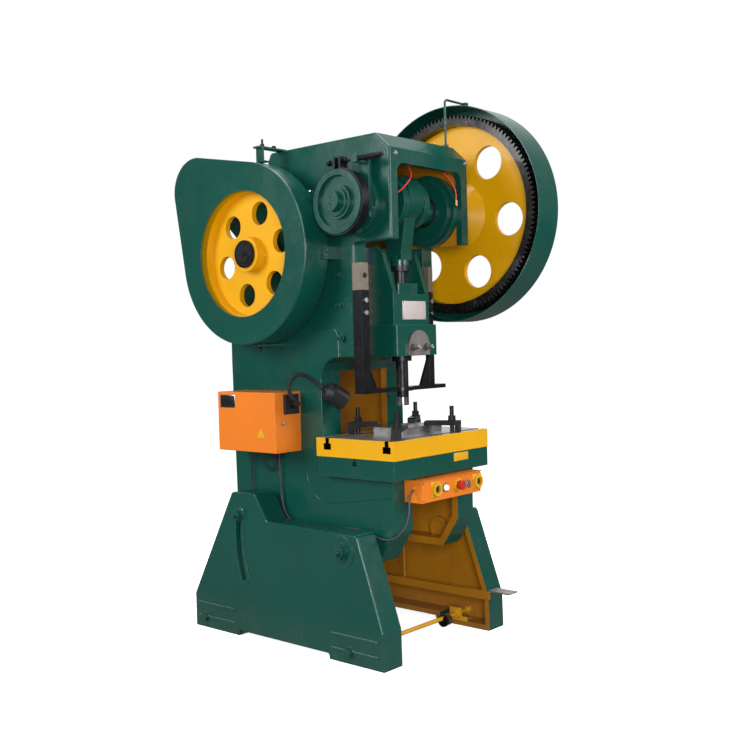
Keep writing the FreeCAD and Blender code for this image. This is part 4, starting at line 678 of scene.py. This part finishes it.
# ---------------------------------- details --------------------------------------
# plates without any marking
ram_plate = Build().box((-0.054, -0.3656, 1.203), (0.084, -0.3638, 1.271), 0.0005)
piece(ram_plate, "ram_plate", "pale_plate", "slide_ram")
repeat("ram_plate_rivets", Build().rod((0, 0, 0), (0, -0.0016, 0), 0.0026, 0.0018, 16),
       [(x, -0.3655, z) for x in (-0.049, 0.079) for z in (1.208, 1.266)], "bright", "slide_ram")
plate_rim = Build().box((-0.3716, 0.212, 0.884), (-0.3700, 0.298, 0.934), 0.0004)
piece(plate_rim, "cabinet_plate_rim", "bright", "door")
plate_face = Build().box((-0.3722, 0.2145, 0.8865), (-0.3708, 0.2955, 0.9315), 0.0003)
piece(plate_face, "cabinet_plate", "black_plate", "door")
piece(Build().box((0.062, -0.4984, 0.676), (0.150, -0.4966, 0.706), 0.0003), "table_plate", "yellow_plastic",
      "frame")

badge = bmesh.new()
corners = [(0.050, 0.776), (0.094, 0.776), (0.072, 0.814)]
front = [badge.verts.new((-0.3714, y, z)) for y, z in corners]
back = [badge.verts.new((-0.3702, y, z)) for y, z in corners]
badge.faces.new(front)
badge.faces.new(back)
for k in range(3):
    badge.faces.new((front[k], front[(k + 1) % 3], back[(k + 1) % 3], back[k]))
bmesh.ops.recalc_face_normals(badge, faces=badge.faces)
plate = bpy.data.meshes.new("cabinet_triangle")
badge.to_mesh(plate)
badge.free()
piece(plate, "cabinet_triangle", "yellow_plastic", "door", smooth=False)

# electrical box: quarter-turn lock
lock = Build().rod((-0.330, -0.0108, 0.830), (-0.330, -0.0145, 0.830), 0.0066, 0.0058)
lock.box((-0.3312, -0.0155, 0.8262), (-0.3288, -0.0140, 0.8338))
piece(lock, "cabinet_lock", "bright", "frame")

# lamp: knurled collar, the lit glass, the screws and boss of its base
tip = Vector((-0.177, -0.168, 0.910))
start = Vector((-0.255, -0.144, 0.961))
axis = (tip - start).normalized()
collar = Build()
for k in range(5):
    collar.ring(start + axis * (0.006 + 0.003 * k), axis, 0.0142, 0.0011, 40, 8)
collar.ring(start + axis * 0.0345, axis, 0.0362, 0.0012, 56, 8)
piece(collar, "lamp_collar", "black_plastic", "frame")
piece(Build().rod(tip - axis * 0.044, tip - axis * 0.008, 0.011, 0.021), "lamp_bulb", "white_lens", "frame")
base = Build()
for x in (-0.318, -0.257):
    for z in (0.869, 0.929):
        base.rod((x, -0.0138, z), (x, -0.0158, z), 0.0042, 0.0036, 6)
base.rod((-0.288, -0.0138, 0.899), (-0.288, -0.024, 0.899), 0.017, 0.012)
piece(base, "lamp_base_screws", "black_steel", "frame")

# control box: pilot lamp, key bezel, stop button crown, screws of the lid, yellow plates round the buttons
def panel_disc(x, near, far, radius, tip):
    """Round fitting on the control box between two depths in front of its face."""
    return Build().rod((x, PANEL_FRONT - near, PANEL_Z), (x, PANEL_FRONT - far, PANEL_Z), radius, tip)


PILOT_X = -0.043
KEY_X = 0.082
piece(panel_disc(PILOT_X, 0.0, 0.006, 0.0165, 0.015), "pilot_bezel", "bright", "frame")
piece(panel_disc(PILOT_X, 0.005, 0.013, 0.0118, 0.0085), "pilot_lens", "white_lens", "frame")
piece(panel_disc(KEY_X, 0.0075, 0.0095, 0.0138, 0.0125), "key_bezel", "bright", "key")
stop = Build()
stop.ring((0.036, PANEL_FRONT - 0.0225, PANEL_Z), (0, 1, 0), 0.0140, 0.0030, 40, 10)
stop.rod((0.036, PANEL_FRONT - 0.0215, PANEL_Z), (0.036, PANEL_FRONT - 0.0238, PANEL_Z), 0.0135, 0.0105)
piece(stop, "stop_button_crown", "red", "stop")
repeat("panel_screws", Build().rod((0, 0, 0), (0, -0.0018, 0), 0.0034, 0.0026, 14),
       [(x, PANEL_FRONT, z) for x in (-0.168, 0.168) for z in (0.562, 0.622)], "bright", "frame")
bezels = Build()
for x in (-0.098, 0.152):
    bezels.box((x - 0.028, PANEL_FRONT - 0.0022, PANEL_Z - 0.028), (x + 0.028, PANEL_FRONT, PANEL_Z + 0.028),
               0.002)
piece(bezels, "button_plates", "yellow_plastic", "frame")

# head front: small screws; crank housing and bearing bolts
repeat("head_screws", Build().bolt((0, 0, 0), (0, -1, 0), 0.011),
       [(-0.197, -0.467, 1.780), (0.214, -0.467, 1.786)], "bright", "frame")
repeat("housing_bolts", bolt_x(-1, 0.016), circle_x(-0.255, CRANK, 0.1, 6, 15), "green", "frame")
for name, side in (("left", -1), ("right", 1)):
    repeat("drive_bearing_bolts_" + name, bolt_x(side, 0.012), circle_x(side * 0.249, DRIVE, 0.061, 4, 45),
           "black_steel", "frame")
# black discs painted on the crank nose as the shade of its two small holes
nose = Build()
for z in (1.628, 1.606):
    nose.rod((-0.3703, CRANK[0], z), (-0.3695, CRANK[0], z), 0.0045)
piece(nose, "crank_nose_holes", "black_plate", "crank")
hub = Build().rod((-0.3682, DRIVE[0], DRIVE[1]), (-0.3712, DRIVE[0], DRIVE[1]), 0.036, 0.034)
hub.ring((-0.3684, DRIVE[0], DRIVE[1]), (1, 0, 0), 0.047, 0.0022)
hub.rod((-0.371, DRIVE[0], DRIVE[1]), (-0.3745, DRIVE[0], DRIVE[1]), 0.010, 0.009, 6)
piece(hub, "flywheel_cap_boss", "black_steel", "drive")

# gib adjusting screws on the sides of the column, with their lock nuts
screws = [(-0.229, -0.224, 1.369), (-0.229, -0.222, 1.257), (-0.237, -0.226, 1.140)]
repeat("gib_screws_left", bolt_x(-1, 0.017, 0.016), screws, "green", "frame")
repeat("gib_screws_right", bolt_x(1, 0.017, 0.016), [(-x, y, z) for x, y, z in screws[:2]], "green", "frame")
repeat("gib_front_screws", Build().rod((0, 0, 0), (0, -0.006, 0), 0.0075, 0.007, 24),
       [(s * 0.148, -0.262, z) for s in (-1, 1) for z in (1.10, 1.19, 1.28, 1.37, 1.45)], "black_steel", "frame")
socket_screw = Build().rod((0, 0, 0), (0, -0.007, 0), 0.0095, 0.009, 24)
socket_screw.rod((0, -0.0068, 0), (0, -0.0074, 0), 0.0045, None, 6)
repeat("post_screws", socket_screw,
       [(-0.221, -0.332, z) for z in (1.274, 1.229)] + [(0.185, -0.312, z) for z in (1.274, 1.229)], "bright",
       "frame")
block_bolt = Build().box((-0.214, -0.3325, 1.352), (-0.2135, -0.3318, 1.372))
block_bolt.bolt((-0.221, -0.332, 1.362), (0, -1, 0), 0.012)
piece(block_bolt, "block_bolt", "dark_iron", "frame")

# flywheel guard: strap bolts, silver clip, front bracket bolts; the gear guard's stay bolt
strap = Build()
strap.bolt((-0.315, 0.081, 1.864), (0, 0, 1), 0.015, stud=0.018).bolt((-0.255, 0.081, 1.864), (0, 0, 1), 0.015)
strap.bolt((-0.300, DRIVE[0], 1.1178), (0, 0, -1), 0.015, stud=0.012)
piece(strap, "strap_bolts", "black_steel", "frame")
clip = Build().box((-0.312, -0.1620, 1.668), (-0.290, -0.1500, 1.676), 0.001)
clip.box((-0.296, -0.1900, 1.664), (-0.280, -0.1560, 1.668), 0.001)
piece(clip, "guard_clip", "bright", "frame")
stay_bolt = Build().bolt((0.337, -0.384, 2.0415), (0, 0, 1), 0.010, 0.004)
piece(stay_bolt, "stay_bolt", "bright", "frame")
bracket = Build()
for z in (1.440, 1.458):
    bracket.bolt((-0.2875, -0.2124, z), (0, -1, 0), 0.010)
piece(bracket, "front_bracket_bolts", "green", "frame")

# motor: cooling fins, fan grille, feet bolts
fins = Build().box((-0.172, -0.0015, 0.0), (0.132, 0.0015, 0.0055))
places = []
turns = []
for k in range(40):
    a = math.radians(9.0 * k)
    if -2.1 < math.atan2(math.sin(a), math.cos(a)) < -1.0:
        continue
    places.append((0.0, MOTOR[0] + 0.1005 * math.cos(a), MOTOR[1] + 0.1005 * math.sin(a)))
    turns.append((a - math.pi / 2, 0.0, 0.0))
repeat("motor_fins", fins, places, "motor", "frame", turns)
grille = Build()
for k in range(6):
    grille.ring((0.1965, MOTOR[0], MOTOR[1]), (1, 0, 0), 0.024 + 0.013 * k, 0.0016, 48, 6)
piece(grille, "motor_grille", "black_steel", "frame")
repeat("motor_bolts", Build().bolt((0, 0, 0), (0, 0, 1), 0.013),
       [(x, MOTOR[0] + s * 0.075, 1.642) for x in (-0.11, 0.07) for s in (-1, 1)], "black_steel", "frame")

# weld beads around the pivot bosses on the legs' inner side
seams = Build()
for side in (-1, 1):
    seams.ring((side * 0.2635, PIVOT[0], PIVOT[1]), (1, 0, 0), 0.0425, 0.0018, 40, 6)
piece(seams, "pivot_boss_welds", "ochre", "base")

# raised border of the legs' arc slots
SLOT_RADIUS = 0.538
SLOT_TOP = 8.6
SLOT_LOW = -17.2
BORDER = 0.027
STEPS = 24


def polar(centre, radius, degrees):
    a = math.radians(degrees)
    return centre[0] + radius * math.cos(a), centre[1] + radius * math.sin(a)


sweep = [SLOT_TOP + (SLOT_LOW - SLOT_TOP) * k / STEPS for k in range(STEPS + 1)]
border = [polar(PIVOT, SLOT_RADIUS + BORDER, angle) for angle in sweep]
low_end = polar(PIVOT, SLOT_RADIUS, SLOT_LOW)
border += [polar(low_end, BORDER, SLOT_LOW - 15.0 * k) for k in range(1, 12)]
border += [polar(PIVOT, SLOT_RADIUS - BORDER, angle) for angle in reversed(sweep)]
top_end = polar(PIVOT, SLOT_RADIUS, SLOT_TOP)
border += [polar(top_end, BORDER, SLOT_TOP + 180.0 - 15.0 * k) for k in range(1, 12)]
rims = Build()
for side in (-1, 1):
    rims.loop_x(side * (LEG_OUT + 0.0003), border, 0.0032)
piece(rims, "slot_borders", "green", "base")

# bead where the table's casting runs into the side walls
line_yz = [(-0.031, 0.640), (-0.034, 0.600), (-0.050, 0.578), (-0.080, 0.546), (-0.126, 0.534),
           (-0.182, 0.536), (-0.345, 0.561), (-0.4535, 0.577)]
for name, side in (("left", -1), ("right", 1)):
    bead("casting_bead_" + name, [(side * 0.2372, y, z) for y, z in line_yz], 0.0026, "green", "frame")

# painted highlight: pale rods along the upper edges of the ribs cast on the feet
ribs = Build()
for side in (-1, 1):
    for foot in (-1, 1):
        for height in (0.051, 0.103):
            x, z = side * 0.3649, height - 0.0006
            ribs.rod((x, foot * 0.258, z), (x, foot * 0.475, z), 0.0012, segments=8)
piece(ribs, "foot_rib_edges", "edge", "base")

# lug and roller of the front tie rod by the right leg
lug = Build().box((0.2475, -0.372, 0.030), (0.2635, -0.318, 0.072), 0.003)
lug.box((0.2475, -0.400, 0.022), (0.2625, -0.300, 0.040), 0.003)
lug.ring((0.2495, -0.345, 0.045), (1, 0, 0), 0.0125, 0.0042, 32, 8)
piece(lug, "tie_rod_lug", "yellow", "base")
roller = Build().rod((0.180, -0.345, 0.034), (0.206, -0.345, 0.034), 0.0205, 0.0205, 40)
piece(roller, "tie_rod_roller", "bright", "base")
collar = Build().rod((0.168, -0.345, 0.034), (0.180, -0.345, 0.034), 0.0225, 0.0225, 32)
collar.rod((0.160, -0.345, 0.036), (0.168, -0.345, 0.036), 0.017, 0.015, 6)
piece(collar, "tie_rod_collar", "black_steel", "base")

# die plate: screws and bush
die = Build()
for x in (-0.070, 0.120):
    for y in (-0.364, -0.258):
        die.rod((x, y, 0.806), (x, y, 0.8068), 0.010, 0.0098)
        die.rod((x, y, 0.8066), (x, y, 0.8072), 0.0055, None, 6)
piece(die, "die_screws", "black_steel", "frame")
die_rim = Build().ring((0.0, CRANK[0], 0.8062), (0, 0, 1), 0.031, 0.0012)
piece(die_rim, "die_bush", "bright", "frame")

# punch clamp bolts: round heads with drilled sockets
heads = Build()
for x in (-0.039, 0.039):
    heads.ring((x, -0.4289, 1.101), (0, 1, 0), 0.0058, 0.0014, 28, 8)
piece(heads, "clamp_stud_rims", "bright", "slide_ram")

# ------------------------------- light and camera --------------------------------
scene = bpy.context.scene
ground = bpy.data.meshes.new("studio_floor")
ground.from_pydata([(-40, -40, 0), (40, -40, 0), (40, 40, 0), (-40, 40, 0)], [], [(0, 1, 2, 3)])
floor = bpy.data.objects.new("studio_floor", ground)
scene.collection.objects.link(floor)
pale = Nodes("studio_white")
pale.shader.inputs["Emission Color"].default_value = (1.0, 1.0, 1.0, 1.0)
seen = pale.add("ShaderNodeLightPath")
pale.put(pale.shader.inputs["Emission Strength"], pale.mix(seen.outputs["Is Camera Ray"], 0.02, 0.84, "FLOAT"))
carpet = pale.mix(seen.outputs["Is Camera Ray"], (0.16, 0.16, 0.16), (0.9, 0.9, 0.9))
ground.materials.append(pale.finish(carpet, 0.0, 0.95))

world = bpy.data.worlds.new("studio")
scene.world = world
world.use_nodes = True
sky = world.node_tree.nodes["Background"]
sky.inputs[0].default_value = (1.0, 1.0, 1.0, 1.0)
seen = world.node_tree.nodes.new("ShaderNodeLightPath")
toward = world.node_tree.nodes.new("ShaderNodeTexCoord")
facing = world.node_tree.nodes.new("ShaderNodeVectorMath")
facing.operation = "DOT_PRODUCT"
facing.inputs[1].default_value = (0.747, 0.664, 0.0)
backdrop = world.node_tree.nodes.new("ShaderNodeMapRange")
backdrop.inputs["From Min"].default_value = 0.35
backdrop.inputs["From Max"].default_value = 0.85
backdrop.inputs["To Min"].default_value = 0.15
backdrop.inputs["To Max"].default_value = 0.8
brightest = world.node_tree.nodes.new("ShaderNodeMath")
brightest.operation = "MAXIMUM"
world_links = world.node_tree.links
world_links.new(toward.outputs["Generated"], facing.inputs[0])
world_links.new(facing.outputs["Value"], backdrop.inputs["Value"])
world_links.new(backdrop.outputs[0], brightest.inputs[0])
world_links.new(seen.outputs["Is Camera Ray"], brightest.inputs[1])
world_links.new(brightest.outputs[0], sky.inputs[1])


def softbox(name, place, target, size, power, color=(1.0, 1.0, 1.0)):
    light = bpy.data.lights.new(name, "AREA")
    light.shape = "RECTANGLE"
    light.size = size[0]
    light.size_y = size[1]
    light.energy = power
    light.color = color
    obj = bpy.data.objects.new(name, light)
    obj.location = place
    obj.rotation_euler = (Vector(target) - Vector(place)).to_track_quat("-Z", "Y").to_euler()
    scene.collection.objects.link(obj)


softbox("key_left", (-4.4, 1.5, 2.7), (0, 0, 1.0), (2.0, 2.2), 150)
softbox("key_front", (1.8, -4.8, 2.8), (0, 0, 0.9), (2.6, 2.4), 165)
softbox("camera_fill", (-3.3, -3.4, 1.35), (0, 0, 0.85), (1.5, 1.5), 125)
softbox("top", (0.2, 0.2, 4.4), (0, 0, 1.2), (2.4, 2.4), 110)

yaw, pitch, roll = math.radians(48.35), math.radians(1.51), math.radians(1.47)
ahead = Vector((math.sin(yaw) * math.cos(pitch), math.cos(yaw) * math.cos(pitch), -math.sin(pitch)))
across = Vector((math.cos(yaw), -math.sin(yaw), 0.0))
plumb = ahead.cross(across)
right = math.cos(roll) * across + math.sin(roll) * plumb
down = -math.sin(roll) * across + math.cos(roll) * plumb
lens = bpy.data.cameras.new("camera")
lens.lens = 50.41
lens.sensor_width = 36.0
lens.clip_end = 100.0
camera = bpy.data.objects.new("camera", lens)
turn = Matrix((right, -down, -ahead)).transposed().to_4x4()
camera.matrix_world = Matrix.Translation((-2.95307, -2.75285, 1.13831)) @ turn
scene.collection.objects.link(camera)
scene.camera = camera
scene.view_settings.view_transform = "Standard"
